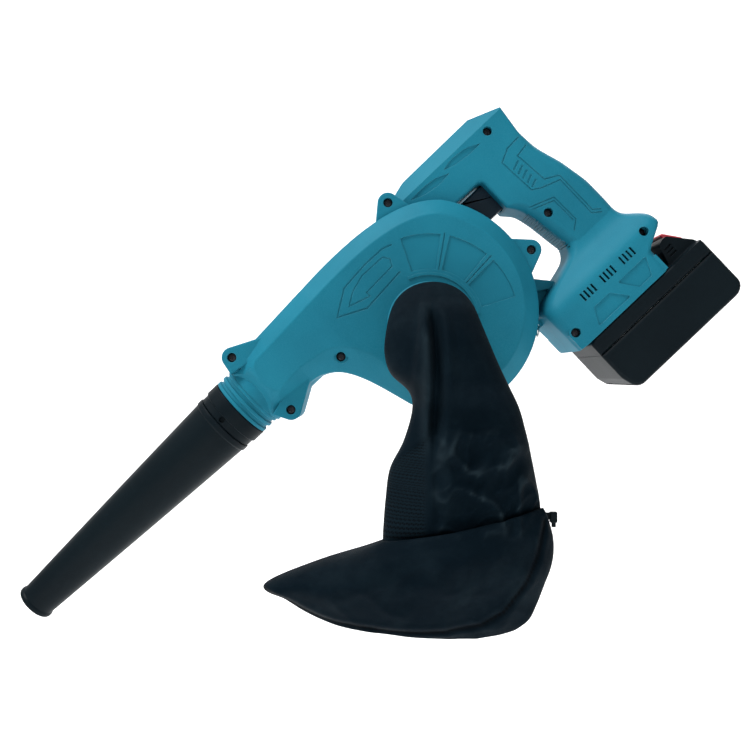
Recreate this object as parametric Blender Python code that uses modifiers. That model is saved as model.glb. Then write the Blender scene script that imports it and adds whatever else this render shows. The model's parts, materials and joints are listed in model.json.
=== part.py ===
"""Cordless two-in-one leaf blower with a cloth dust bag, modelled as separate pieces.

The tool is designed level, with X rearward, Z up and the fan axis at the origin of its own frame.
One empty then carries it nose-down, as a hand holds it, and the bag hangs plumb from the inlet.
The world origin is the middle of the hand grip.
"""
import math

import bmesh
import bpy
from mathutils import Matrix, Vector

MM = 0.001
FIT_GAP = 0.3 * MM
ABOUT_X = Matrix.Rotation(math.pi / 2, 3, "X")

# Carried pose
CARRY_TILT = math.radians(43.5)

# Walls and edges
WALL = 2.5 * MM
EDGE_CHAMFER = 12 * MM
SPLIT_GAP = 0.3 * MM

# Fan housing
FACE_NEAR = -42 * MM
FACE_FAR = 24 * MM
SCROLL_START_ANGLE = math.radians(213)
SCROLL_SWEEP = math.radians(188)
SCROLL_START_RADIUS = 58 * MM
SCROLL_GROWTH = 31.5 * MM
SCROLL_EASE = 1.3
FINGER_RELIEF_X = 68 * MM
FINGER_RELIEF_Y = -9 * MM

# Outlet duct, collar and nozzle
DUCT_Z = 51.5 * MM
DUCT_END_X = -128 * MM
DUCT_RADIUS = 25.2 * MM
COLLAR_LENGTH = 14 * MM
COLLAR_RADIUS = 24.6 * MM
COLLAR_GROOVE = 1.3 * MM
SPIGOT_LENGTH = 7.5 * MM
SPIGOT_RADIUS = 21.5 * MM
SLEEVE_LENGTH = 16 * MM
SLEEVE_RADIUS = 24.8 * MM
NOZZLE_BASE_RADIUS = 24.4 * MM
NOZZLE_TIP_RADIUS = 13.4 * MM
NOZZLE_LENGTH = 196 * MM
NOZZLE_WALL = 1.8 * MM
NOZZLE_PLUG_LENGTH = 7.5 * MM

# Arm and hand grip
GRIP_HALF_WIDTH = 18.5 * MM
GRIP_CHAMFER = 7 * MM
GRIP_MIDDLE_X = 134.8 * MM

# Battery base
BASE_HALF_WIDTH = 37 * MM
BASE_CHAMFER = 6 * MM
BASE_BOTTOM = -88 * MM
CHANNEL_START_X = 82 * MM

# Fan and motor
FAN_RADIUS = 50 * MM
FAN_BACK_Y = 12 * MM
FAN_BLADE_HEIGHT = 36 * MM
FAN_BLADES = 8
SHAFT_RADIUS = 2.5 * MM
MOTOR_RADIUS = 21.5 * MM
MOTOR_LENGTH = 36 * MM
MOTOR_CHAMBER_RADIUS = 31 * MM
MOTOR_PLATE_Y = FACE_FAR - WALL - 2.5 * MM
MOTOR_START_Y = MOTOR_PLATE_Y + 2 * MM + FIT_GAP
MOTOR_TAIL_ROOM = 6.2 * MM
MOTOR_CHAMBER_END = MOTOR_START_Y + MOTOR_LENGTH + MOTOR_TAIL_ROOM + WALL

# Inlet
INLET_RADIUS = 22.5 * MM
INLET_LENGTH = 18 * MM
BAG_COLLAR_WALL = 2.6 * MM

# Battery pack
PACK_LENGTH = 109 * MM
PACK_FRONT_X = 72.5 * MM
PACK_HEIGHT = 47 * MM
PACK_HALF_WIDTH = 37 * MM
PACK_SEAM_DROP = 12 * MM
RAIL_HALF_WIDTH = 23 * MM
RAIL_NECK = 19.5 * MM
RAIL_HEIGHT = 10 * MM
RAIL_LIP = 3.5 * MM
CELL_RADIUS = 9.1 * MM
CELL_LENGTH = 65 * MM
CELLS_PER_ROW = 5

# Trigger
TRIGGER_HALF_WIDTH = 7.5 * MM
TRIGGER_TRAVEL = 6 * MM

# Strap ring and the eye that it hangs in
EYE_X = 61 * MM
EYE_Y = -1.6 * MM
EYE_Z = -57 * MM
EYE_THICKNESS = 1.8 * MM
RING_RADIUS = 4 * MM
RING_WIRE = 0.6 * MM

# Screws
SCREW_RADIUS = 1.6 * MM
SCREW_HEAD_RADIUS = 3.1 * MM
SCREW_HEAD_HEIGHT = 2.4 * MM
SCREW_LENGTH = 20 * MM
BOSS_RADIUS = 7.5 * MM
POST_RADIUS = 5 * MM

EAR_NEAR = -26 * MM
EAR_FAR = 12 * MM

# name, X, Z, near and far ends of its boss, and for an ear the way to the shell it stands on
SCREW_PLACES = [
    ("duct_top", -118.5 * MM, 80 * MM, EAR_NEAR, EAR_FAR, (0, -1)),
    ("duct_bottom", -113.5 * MM, 23.5 * MM, EAR_NEAR, EAR_FAR, (0, 1)),
    ("arch", -61 * MM, 26 * MM, -36.5 * MM, 18.5 * MM, None),
    ("volute_top", 39.5 * MM, 83.5 * MM, EAR_NEAR, EAR_FAR, (-0.43, -0.9)),
    ("volute_rear", 91 * MM, -12 * MM, EAR_NEAR, EAR_FAR, (-0.99, 0.13)),
    ("arm_rear", 129 * MM, 72.5 * MM, -17 * MM, 17 * MM, None),
    ("grip", 120.5 * MM, -1 * MM, -17 * MM, 17 * MM, None),
    ("base_rear", 155 * MM, -57 * MM, -31 * MM, 31 * MM, None),
    ("base_front", 71 * MM, -76 * MM, -35.5 * MM, 35.5 * MM, None),
]

COLOURS = {
    "teal": ((0.03, 0.24, 0.31), 0.45, 0.0),
    "black_plastic": ((0.012, 0.016, 0.02), 0.5, 0.0),
    "cloth": ((0.01, 0.014, 0.02), 0.9, 0.0),
    "steel": ((0.45, 0.45, 0.47), 0.35, 1.0),
    "dark_steel": ((0.04, 0.04, 0.045), 0.4, 1.0),
    "copper": ((0.6, 0.25, 0.1), 0.35, 1.0),
    "brass": ((0.7, 0.5, 0.2), 0.35, 1.0),
    "red": ((0.6, 0.03, 0.03), 0.4, 0.0),
    "cell_wrap": ((0.1, 0.35, 0.2), 0.4, 0.0),
}


# ---------------------------------------------------------------- scene helpers

def clear_scene():
    for thing in list(bpy.data.objects):
        bpy.data.objects.remove(thing, do_unlink=True)


def make_collection(name):
    collection = bpy.data.collections.new(name)
    bpy.context.scene.collection.children.link(collection)
    return collection


def material(name):
    found = bpy.data.materials.get(name)
    if found:
        return found
    colour, roughness, metallic = COLOURS[name]
    made = bpy.data.materials.new(name)
    made.use_nodes = True
    shader = made.node_tree.nodes["Principled BSDF"]
    shader.inputs["Base Color"].default_value = (*colour, 1)
    shader.inputs["Roughness"].default_value = roughness
    shader.inputs["Metallic"].default_value = metallic
    return made


def link(thing, frame, finish=None):
    """Put an object in the part's collection, or with the cutters when it has no finish."""
    thing.parent = frame
    if finish is None:
        CUTTERS.objects.link(thing)
        thing.hide_render = True
        thing.display_type = "WIRE"
    else:
        PARTS.objects.link(thing)
        thing.data.materials.clear()
        thing.data.materials.append(material(finish))
    return thing


def object_from_bmesh(name, mesh_edit, frame, finish=None, at=(0, 0, 0)):
    mesh = bpy.data.meshes.new(name)
    bmesh.ops.recalc_face_normals(mesh_edit, faces=mesh_edit.faces)
    mesh_edit.to_mesh(mesh)
    mesh_edit.free()
    thing = bpy.data.objects.new(name, mesh)
    thing.location = at
    return link(thing, frame, finish)


def box(name, frame, x, y, z, finish=None, at=(0, 0, 0)):
    """Box between pairs of limits along each axis."""
    edit = bmesh.new()
    bmesh.ops.create_cube(edit, size=1)
    size = Vector((x[1] - x[0], y[1] - y[0], z[1] - z[0]))
    middle = Vector((x[0] + x[1], y[0] + y[1], z[0] + z[1])) / 2
    bmesh.ops.scale(edit, vec=size, verts=edit.verts)
    bmesh.ops.translate(edit, vec=middle, verts=edit.verts)
    return object_from_bmesh(name, edit, frame, finish, at)


def rod(name, frame, x, z, radius, y, finish=None, sides=20, end_radius=None, at=(0, 0, 0)):
    """Cylinder, or cone, along Y between two limits."""
    edit = bmesh.new()
    far_radius = radius if end_radius is None else end_radius
    bmesh.ops.create_cone(edit, cap_ends=True, segments=sides, radius1=far_radius,
                          radius2=radius, depth=y[1] - y[0])
    bmesh.ops.rotate(edit, verts=edit.verts, matrix=ABOUT_X)
    bmesh.ops.translate(edit, vec=(x, (y[0] + y[1]) / 2, z), verts=edit.verts)
    return object_from_bmesh(name, edit, frame, finish, at)


def turned(name, frame, profile, along, finish=None, sides=32, at=(0, 0, 0), closed=True):
    """Turn a (radius, height) profile about X or Y; it runs down its outer side first."""
    edit = bmesh.new()
    corners = [edit.verts.new((radius, 0, height)) for radius, height in profile]
    for first, second in zip(corners, corners[1:]):
        edit.edges.new((first, second))
    if closed:
        edit.edges.new((corners[-1], corners[0]))
    mesh = bpy.data.meshes.new(name)
    edit.to_mesh(mesh)
    edit.free()
    thing = bpy.data.objects.new(name, mesh)
    screw = thing.modifiers.new("turn", "SCREW")
    screw.steps = screw.render_steps = sides
    screw.use_merge_vertices = True
    screw.merge_threshold = 0.00001
    thing.location = at
    thing.rotation_euler = (0, math.pi / 2, 0) if along == "X" else (-math.pi / 2, 0, 0)
    return link(thing, frame, finish)


def shrunk(outline, distance):
    """Closed outline moved inward by a distance, with mitred corners."""
    area = sum(a[0] * b[1] - b[0] * a[1] for a, b in zip(outline, outline[1:] + outline[:1]))
    inward = 1 if area > 0 else -1
    moved = []
    for before, here, after in zip(outline[-1:] + outline[:-1], outline, outline[1:] + outline[:1]):
        arriving = (Vector(here) - Vector(before)).normalized()
        leaving = (Vector(after) - Vector(here)).normalized()
        first = Vector((-arriving.y, arriving.x)) * inward
        second = Vector((-leaving.y, leaving.x)) * inward
        mitre = (first + second) / (1 + first.dot(second))
        moved.append(tuple(Vector(here) + mitre * distance))
    return moved


def plate(name, frame, outline, y, chamfer=0.0, inset=0.0, finish=None, at=(0, 0, 0)):
    """Flat outline in X and Z, extruded between two Y limits, with chamfered rims."""
    edit = bmesh.new()
    corners = [edit.verts.new((x, y[0] + chamfer, z)) for x, z in shrunk(outline, inset)]
    near = edit.faces.new(corners)
    raised = bmesh.ops.extrude_face_region(edit, geom=[near])["geom"]
    far_corners = [item for item in raised if isinstance(item, bmesh.types.BMVert)]
    far = next(item for item in raised if isinstance(item, bmesh.types.BMFace))
    bmesh.ops.translate(edit, vec=(0, y[1] - y[0] - 2 * chamfer, 0), verts=far_corners)
    near = next(face for face in edit.faces
                if len(face.verts) == len(outline) and face is not far)
    bmesh.ops.recalc_face_normals(edit, faces=edit.faces)
    if chamfer:
        for cap in (near, far):
            bmesh.ops.inset_region(edit, faces=[cap], thickness=chamfer, depth=chamfer,
                                   use_boundary=True, use_even_offset=True)
    return object_from_bmesh(name, edit, frame, finish, at)


def curve_to_mesh(curve_object, frame, finish, at):
    """Turn a curve into a welded mesh object with the same name."""
    name = curve_object.name
    PARTS.objects.link(curve_object)
    graph = bpy.context.evaluated_depsgraph_get()
    mesh = bpy.data.meshes.new_from_object(curve_object.evaluated_get(graph))
    edit = bmesh.new()
    edit.from_mesh(mesh)
    bmesh.ops.remove_doubles(edit, verts=edit.verts, dist=0.000005)
    edit.to_mesh(mesh)
    edit.free()
    mesh.transform(curve_object.matrix_world)
    bpy.data.objects.remove(curve_object, do_unlink=True)
    thing = bpy.data.objects.new(name, mesh)
    thing.location = at
    return link(thing, frame, finish)


def wire(name, frame, points, radius, finish, at=(0, 0, 0), closed=False):
    """Round wire through points, with closed ends."""
    curve = bpy.data.curves.new(name, "CURVE")
    curve.dimensions = "3D"
    curve.bevel_depth = radius
    curve.bevel_resolution = 2
    curve.use_fill_caps = not closed
    spline = curve.splines.new("POLY")
    spline.points.add(len(points) - 1)
    for point, place in zip(spline.points, points):
        point.co = (*place, 1)
    spline.use_cyclic_u = closed
    return curve_to_mesh(bpy.data.objects.new(name, curve), frame, finish, at)


def smooth_route(points, steps):
    """Points along a Catmull-Rom curve through the given ones."""
    route = []
    padded = [points[0], *points, points[-1]]
    for before, start, end, after in zip(padded, padded[1:], padded[2:], padded[3:]):
        a, b, c, d = (Vector(p) for p in (before, start, end, after))
        for step in range(steps):
            t = step / steps
            route.append(0.5 * ((2 * b) + (c - a) * t + (2 * a - 5 * b + 4 * c - d) * t * t
                                + (3 * b - a - 3 * c + d) * t ** 3))
    route.append(Vector(points[-1]))
    return route


def shape_with(target, tool, operation):
    """Add one exact Boolean."""
    modifier = target.modifiers.new(tool.name, "BOOLEAN")
    modifier.operation = operation
    modifier.solver = "EXACT"
    modifier.object = tool
    return target


def join(target, *tools):
    for tool in tools:
        shape_with(target, tool, "UNION")
    return target


def cut(target, *tools):
    for tool in tools:
        shape_with(target, tool, "DIFFERENCE")
    return target


def meet(target, *tools):
    for tool in tools:
        shape_with(target, tool, "INTERSECT")
    return target


def make_frame(name, location, parent=None, tilt=0.0):
    empty = bpy.data.objects.new(name, None)
    empty.location = location
    empty.rotation_euler = (0, -tilt, 0)
    empty.parent = parent
    bpy.context.scene.collection.objects.link(empty)
    return empty


# ---------------------------------------------------------------- outlines

def scroll_radius(turned_part):
    """Outer radius of the fan scroll, for a share of its sweep from the tongue."""
    return SCROLL_START_RADIUS + SCROLL_GROWTH * (1 - (1 - turned_part) ** SCROLL_EASE)


def scroll_point(turned_part):
    angle = SCROLL_START_ANGLE + SCROLL_SWEEP * turned_part
    radius = scroll_radius(turned_part)
    return radius * math.cos(angle), radius * math.sin(angle)


def bezier(start, first, second, end, steps):
    """Points inside a cubic curve, without its ends."""
    points = []
    for step in range(1, steps):
        t = step / steps
        s = 1 - t
        points.append(tuple(s ** 3 * a + 3 * s * s * t * b + 3 * s * t * t * c + t ** 3 * d
                            for a, b, c, d in zip(start, first, second, end)))
    return points


def volute_outline():
    """Scroll, top line, duct end, underside and the arch back to the tongue."""
    scroll_steps = 24
    scroll = [scroll_point(step / scroll_steps) for step in range(scroll_steps + 1)]
    end_x, end_z = scroll[-1]
    top_start = (-48 * MM, 80.5 * MM)
    crown = bezier((end_x, end_z), (end_x - 21 * MM, end_z + 22 * MM),
                   (4 * MM, 84.5 * MM), top_start, 7)
    plate_end = DUCT_END_X + 1.5 * MM
    duct_top = (plate_end, DUCT_Z + DUCT_RADIUS + 0.6 * MM)
    duct_bottom = (plate_end, DUCT_Z - DUCT_RADIUS - 0.6 * MM)
    arch_start = (-90 * MM, 28.3 * MM)
    arch = bezier(arch_start, (-64 * MM, 27 * MM), (-58 * MM, 0), scroll[0], 7)
    return scroll + crown + [top_start, duct_top, duct_bottom, arch_start] + arch


def grip_outline():
    """Arm over the trigger and the hand grip down into the base."""
    return [(30 * MM, 60 * MM), (46 * MM, 87.5 * MM), (60 * MM, 89.3 * MM), (127 * MM, 90 * MM),
            (148 * MM, 79 * MM), (145.5 * MM, 58 * MM), (148.5 * MM, 38.6 * MM),
            (154.5 * MM, 19.3 * MM), (158.6 * MM, -3 * MM), (158.8 * MM, -24 * MM),
            (157 * MM, -60 * MM), (113 * MM, -60 * MM), (116.5 * MM, -34 * MM),
            (114 * MM, -22 * MM), (110.8 * MM, 0), (107.9 * MM, 14 * MM), (101 * MM, 22.5 * MM),
            (101 * MM, 50 * MM), (64 * MM, 50 * MM)]


def base_outline():
    return [(64.5 * MM, -50 * MM), (90.6 * MM, -40.6 * MM), (157 * MM, -36 * MM),
            (169 * MM, -50 * MM), (169.5 * MM, -60 * MM), (151 * MM, -70 * MM),
            (151 * MM, BASE_BOTTOM), (65 * MM, BASE_BOTTOM)]


def base_front_view():
    """Half-widths of the base against height, as seen along the tool."""
    narrow = GRIP_HALF_WIDTH + 1 * MM
    return [(-narrow, -30 * MM), (-narrow, -40 * MM), (-BASE_HALF_WIDTH, -56 * MM),
            (-BASE_HALF_WIDTH, BASE_BOTTOM - 1 * MM), (BASE_HALF_WIDTH, BASE_BOTTOM - 1 * MM),
            (BASE_HALF_WIDTH, -56 * MM), (narrow, -40 * MM), (narrow, -30 * MM)]


# ---------------------------------------------------------------- housing

def across_plate(name, frame, outline, x, inset=0.0):
    """Outline in Y and Z, thickened between two X limits."""
    flat = plate(name, frame, outline, (-(x[1] - x[0]) / 2, (x[1] - x[0]) / 2), inset=inset)
    flat.rotation_euler = (0, 0, math.pi / 2)
    flat.location = ((x[0] + x[1]) / 2, 0, 0)
    return flat


def base_block(name, frame, inset):
    """Flared base: its side outline met with its front view."""
    block = plate(name, frame, base_outline(),
                  (-BASE_HALF_WIDTH + inset, BASE_HALF_WIDTH - inset), BASE_CHAMFER, inset)
    view = across_plate(name + "_front_view", frame, base_front_view(),
                        (50 * MM, 185 * MM), inset)
    return meet(block, view)


def duct_taper(name, frame, inset):
    """Wedge that slopes the near side of the duct back to the collar."""
    start = (-52 * MM, FACE_NEAR + inset)
    end = (DUCT_END_X - 4 * MM, -DUCT_RADIUS - 1.5 * MM + inset)
    edit = bmesh.new()
    low, high = 10 * MM, 100 * MM
    ring = [(start[0], start[1]), (end[0], end[1]), (end[0], -70 * MM), (start[0], -70 * MM)]
    floor = [edit.verts.new((x, y, low)) for x, y in ring]
    face = edit.faces.new(floor)
    raised = bmesh.ops.extrude_face_region(edit, geom=[face])
    lifted = [item for item in raised["geom"] if isinstance(item, bmesh.types.BMVert)]
    bmesh.ops.translate(edit, vec=(0, 0, high - low), verts=lifted)
    return object_from_bmesh(name, edit, frame)


def finger_relief(name, frame, inset):
    """Space behind the scroll's rim for the fingers on the grip."""
    return box(name, frame, (FINGER_RELIEF_X - inset, 100 * MM),
               (FINGER_RELIEF_Y - inset, 60 * MM), (4 * MM - inset, 60 * MM))


def volute_block(name, frame, inset):
    block = plate(name, frame, volute_outline(), (FACE_NEAR + inset, FACE_FAR - inset),
                  EDGE_CHAMFER - inset * 0.4, inset)
    cut(block, duct_taper(name + "_taper", frame, inset))
    return cut(block, finger_relief(name + "_relief", frame, inset))


def duct_bore(frame):
    """Round air way out through the duct, collar and spigot."""
    start = -70 * MM
    end = DUCT_END_X - COLLAR_LENGTH - SPIGOT_LENGTH - 5 * MM
    edit = bmesh.new()
    radius = SPIGOT_RADIUS - 2 * MM
    bmesh.ops.create_cone(edit, cap_ends=True, segments=30, radius1=radius, radius2=radius,
                          depth=start - end)
    bmesh.ops.rotate(edit, verts=edit.verts, matrix=Matrix.Rotation(math.pi / 2, 3, "Y"))
    bmesh.ops.translate(edit, vec=((start + end) / 2, 0, DUCT_Z), verts=edit.verts)
    return object_from_bmesh("duct_inside", edit, frame)


def collar_profile():
    """Ribbed collar with two grooves, then the plain spigot for the nozzle sleeve."""
    start = -62 * MM
    rib = COLLAR_LENGTH / 5
    points = [(0, start), (DUCT_RADIUS, start), (DUCT_RADIUS, DUCT_END_X),
              (COLLAR_RADIUS, DUCT_END_X)]
    for groove in range(2):
        near = DUCT_END_X - rib * (1 + 2 * groove)
        points += [(COLLAR_RADIUS, near), (COLLAR_RADIUS - COLLAR_GROOVE, near),
                   (COLLAR_RADIUS - COLLAR_GROOVE, near - rib), (COLLAR_RADIUS, near - rib)]
    end = DUCT_END_X - COLLAR_LENGTH
    return points + [(COLLAR_RADIUS, end), (SPIGOT_RADIUS, end),
                     (SPIGOT_RADIUS, end - SPIGOT_LENGTH), (0, end - SPIGOT_LENGTH)]


def cable_channel(name, frame, inset):
    """Raised run for the motor leads, from the arm to the motor chamber."""
    half = 8 * MM - inset
    run = box(name, frame, (inset, 100 * MM - inset), (9 * MM + inset, 38 * MM - inset), (-half, half))
    run.rotation_euler = (0, -math.radians(45), 0)
    return run


def ears(frame):
    """Round ears outside the shell, each with a wider web back to it."""
    pieces = []
    for name, x, z, near, far, web in SCREW_PLACES:
        if web:
            pieces.append(rod("ear_" + name, frame, x, z, BOSS_RADIUS, (near, far), sides=16))
            web_x = x + web[0] * BOSS_RADIUS * 0.8
            web_z = z + web[1] * BOSS_RADIUS * 0.8
            pieces.append(rod("web_" + name, frame, web_x, web_z, BOSS_RADIUS * 1.25,
                              (near + 1 * MM, far - 1 * MM), sides=16))
    return pieces


def shell_outside(frame):
    volute = volute_block("volute_outside", frame, 0)
    collar = turned("collar_outside", frame, collar_profile(), "X",
                    at=(0, 0, DUCT_Z), closed=False)
    grip = plate("grip_outside", frame, grip_outline(), (-GRIP_HALF_WIDTH, GRIP_HALF_WIDTH),
                 GRIP_CHAMFER)
    base = base_block("base_outside", frame, 0)
    bridge = box("bridge_outside", frame, (52 * MM, 88 * MM), (-11 * MM, 11 * MM),
                 (-52 * MM, -43 * MM))
    chamber = rod("chamber_outside", frame, 0, 0, MOTOR_CHAMBER_RADIUS + WALL,
                  (10 * MM, MOTOR_CHAMBER_END), sides=32, end_radius=MOTOR_CHAMBER_RADIUS - 1 * MM)
    channel = cable_channel("channel_outside", frame, 0)
    return join(volute, collar, grip, base, bridge, chamber, channel, *ears(frame))


def shell_inside(frame, outside_volute):
    """Air path, motor chamber, grip and base hollows."""
    air = volute_block("volute_inside", frame, WALL)
    bore = duct_bore(frame)
    inlet = rod("inlet_hole", frame, 0, 0, INLET_RADIUS + FIT_GAP,
                (FACE_NEAR - 5 * MM, FACE_NEAR + WALL + 1 * MM), sides=32)
    chamber = rod("chamber_inside", frame, 0, 0, MOTOR_CHAMBER_RADIUS,
                  (18 * MM, MOTOR_CHAMBER_END - WALL), sides=32,
                  end_radius=MOTOR_CHAMBER_RADIUS - 3.5 * MM)
    grip = plate("grip_inside", frame, grip_outline(),
                 (-GRIP_HALF_WIDTH + WALL, GRIP_HALF_WIDTH - WALL), GRIP_CHAMFER - 1 * MM, WALL)
    base = base_block("base_inside", frame, WALL)
    handle_space = cut(join(grip, base), outside_volute)
    channel = cut(cable_channel("channel_inside", frame, WALL), outside_volute)
    return air, bore, inlet, chamber, handle_space, channel


def housing_shell(frame):
    """The whole casing as one guide solid, before it is split into its two halves."""
    outside = shell_outside(frame)
    wall_of_air = volute_block("volute_wall", frame, 0)
    return cut(outside, *shell_inside(frame, wall_of_air))


def screw_seat(near):
    """Height at which the screw head bears."""
    return near + 4 * MM


def screw_end(far):
    return min(far, EAR_FAR) - 3 * MM


def half_shell(name, frame, shell, near_side):
    """One half of the casing, with its screw posts and their holes."""
    limits = (-100 * MM, -SPLIT_GAP / 2) if near_side else (SPLIT_GAP / 2, 100 * MM)
    half = box(name, frame, (-200 * MM, 200 * MM), limits, (-120 * MM, 120 * MM), "teal")
    meet(half, shell)
    for place, x, z, near, far, web in SCREW_PLACES:
        if web is None:
            ends = (near, limits[1]) if near_side else (limits[0], far)
            join(half, rod("post_" + place + name[-5:], frame, x, z, POST_RADIUS, ends, sides=16))
        seat = screw_seat(near)
        if near_side:
            cut(half, rod("recess_" + place, frame, x, z, SCREW_HEAD_RADIUS + FIT_GAP,
                          (near - 12 * MM, seat), sides=16))
            ends = (seat - 1 * MM, 5 * MM)
        else:
            ends = (-5 * MM, screw_end(far) + 1 * MM)
        cut(half, rod("hole_" + place + name[-5:], frame, x, z, SCREW_RADIUS + FIT_GAP,
                      ends, sides=12))
    return half


def channel_outline(gap):
    """Section of the battery rail in Y and Z, wider above its neck."""
    top = BASE_BOTTOM + RAIL_HEIGHT + gap
    lip = BASE_BOTTOM + RAIL_LIP - gap
    low = BASE_BOTTOM - 5 * MM
    wide = RAIL_HALF_WIDTH + gap
    neck = RAIL_NECK + gap
    return [(-neck, low), (-neck, lip), (-wide, lip), (-wide, top),
            (wide, top), (wide, lip), (neck, lip), (neck, low)]


def battery_channel(name, frame, gap, x):
    return across_plate(name, frame, channel_outline(gap), x)


def vent_slots(frame):
    """Three groups of four slots through the near side of the base."""
    slots = []
    for group in range(3):
        for slot in range(4):
            x = (91 + 18.8 * group + 3.4 * slot) * MM
            slots.append(box(f"vent_{group}_{slot}", frame, (x, x + 1.5 * MM),
                             (-50 * MM, -25 * MM), (-64.6 * MM, -58 * MM)))
    return slots


def chamber_vents(frame):
    """Air slots through the end of the motor chamber."""
    slots = []
    for row in range(5):
        z = (-16 + 8 * row) * MM
        half = math.sqrt((24 * MM) ** 2 - z * z)
        slots.append(box(f"chamber_vent_{row}", frame, (-half, half),
                         (MOTOR_CHAMBER_END - 16 * MM, MOTOR_CHAMBER_END + 14 * MM),
                         (z - 1.6 * MM, z + 1.6 * MM)))
    return slots


def base_wall(frame):
    """Floor of the base above the battery channel, left solid around the rails."""
    top = BASE_BOTTOM + RAIL_HEIGHT + WALL + 1 * MM
    floor = box("base_floor", frame, (66 * MM, 150 * MM), (-36 * MM, 36 * MM),
                (BASE_BOTTOM + 0.5 * MM, top))
    return floor


def housing(frame):
    shell = housing_shell(frame)
    join(shell, base_wall(frame))
    cut(shell, battery_channel("channel_cut", frame, FIT_GAP, (CHANNEL_START_X, 200 * MM)))
    cut(shell, box("terminal_pocket", frame, (84 * MM, 96 * MM), (-15 * MM, 15 * MM),
                   (BASE_BOTTOM + RAIL_HEIGHT - 1 * MM, -60 * MM)))
    cut(shell, box("trigger_slot", frame, (95 * MM, 108 * MM),
                   (-TRIGGER_HALF_WIDTH - FIT_GAP, TRIGGER_HALF_WIDTH + FIT_GAP),
                   (24 * MM, 49 * MM)))
    cut(shell, *chamber_vents(frame))
    left = half_shell("housing_left", frame, shell, True)
    eye_y = (EYE_Y - EYE_THICKNESS / 2, EYE_Y + EYE_THICKNESS / 2)
    join(left, box("ring_eye", frame, (EYE_X - 2.4 * MM, EYE_X + 5 * MM), eye_y,
                   (EYE_Z - 2.4 * MM, EYE_Z + 2.4 * MM)))
    cut(left, rod("ring_eye_hole", frame, EYE_X, EYE_Z, RING_WIRE + 0.7 * MM,
                  (-10 * MM, 10 * MM), sides=12))
    cut(left, *vent_slots(frame))
    right = half_shell("housing_right", frame, shell, False)
    return left, right


# ---------------------------------------------------------------- fixed pieces

def inlet_spigot(frame):
    """Ring clipped through the near face, with a finger guard across it."""
    inner = INLET_RADIUS - 2 * MM
    flange = INLET_RADIUS + 5 * MM
    seat = FACE_NEAR + WALL + FIT_GAP
    front = FACE_NEAR - INLET_LENGTH
    ring = turned("inlet_spigot", frame,
                  [(flange, seat + 2 * MM), (flange, seat), (INLET_RADIUS, seat),
                   (INLET_RADIUS, front), (inner, front), (inner, seat + 2 * MM)],
                  "Y", "black_plastic")
    bars = (front + 2 * MM, front + 4.5 * MM)
    reach = inner + 1 * MM
    join(ring, box("guard_bar_level", frame, (-reach, reach), bars, (-1.2 * MM, 1.2 * MM)),
         box("guard_bar_upright", frame, (-1.2 * MM, 1.2 * MM), bars, (-reach, reach)))
    return ring


def screws(frame):
    for place, x, z, near, far, _web in SCREW_PLACES:
        seat = screw_seat(near)
        end = screw_end(far)
        edge = seat - FIT_GAP
        profile = [(0, end), (SCREW_RADIUS, end), (SCREW_RADIUS, edge),
                   (SCREW_HEAD_RADIUS, edge), (SCREW_HEAD_RADIUS, edge - SCREW_HEAD_HEIGHT),
                   (0, edge - SCREW_HEAD_HEIGHT)]
        turned("screw_" + place, frame, profile, "Y", "dark_steel", 12, (x, 0, z), False)


def motor(frame):
    """Plate, can, end cap, bushes and magnets, all fixed in the casing."""
    plate_y = MOTOR_PLATE_Y
    hole = MOTOR_CHAMBER_RADIUS + 4 * MM
    bearing_radius = 6 * MM
    turned("motor_plate", frame,
           [(hole, plate_y + 2 * MM), (hole, plate_y), (bearing_radius + FIT_GAP, plate_y),
            (bearing_radius + FIT_GAP, plate_y + 2 * MM)], "Y", "steel")
    start = MOTOR_START_Y
    end = start + MOTOR_LENGTH
    skin = 1.6 * MM
    turned("motor_can", frame,
           [(MOTOR_RADIUS, end), (MOTOR_RADIUS, start), (bearing_radius + FIT_GAP, start),
            (bearing_radius + FIT_GAP, start + skin), (MOTOR_RADIUS - skin, start + skin),
            (MOTOR_RADIUS - skin, end)], "Y", "steel")
    turned("motor_end_cap", frame,
           [(MOTOR_RADIUS - 1 * MM, end + 3 * MM), (MOTOR_RADIUS - 1 * MM, end + FIT_GAP),
            (4.5 * MM, end + FIT_GAP), (4.5 * MM, end + 3 * MM)], "Y", "black_plastic", 24)
    turned("front_bush", frame,
           [(bearing_radius, start + skin), (bearing_radius, plate_y),
            (SHAFT_RADIUS + 0.1 * MM, plate_y), (SHAFT_RADIUS + 0.1 * MM, start + skin)],
           "Y", "brass", 24)
    turned("rear_bush", frame,
           [(4.2 * MM, end + 3 * MM), (4.2 * MM, end + FIT_GAP),
            (SHAFT_RADIUS + 0.1 * MM, end + FIT_GAP), (SHAFT_RADIUS + 0.1 * MM, end + 3 * MM)],
           "Y", "brass", 24)
    magnet_outer = MOTOR_RADIUS - skin - FIT_GAP
    for side, sign in (("upper", 1), ("lower", -1)):
        magnet = turned("magnet_" + side, frame,
                        [(magnet_outer, end - 8 * MM), (magnet_outer, start + 5 * MM),
                         (magnet_outer - 2.2 * MM, start + 5 * MM),
                         (magnet_outer - 2.2 * MM, end - 8 * MM)], "Y", "dark_steel", 24)
        low = 5 * MM if sign > 0 else -30 * MM
        meet(magnet, box("magnet_cut_" + side, frame, (-30 * MM, 30 * MM),
                         (0, 80 * MM), (low, low + 25 * MM)))
    return start, end


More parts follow.
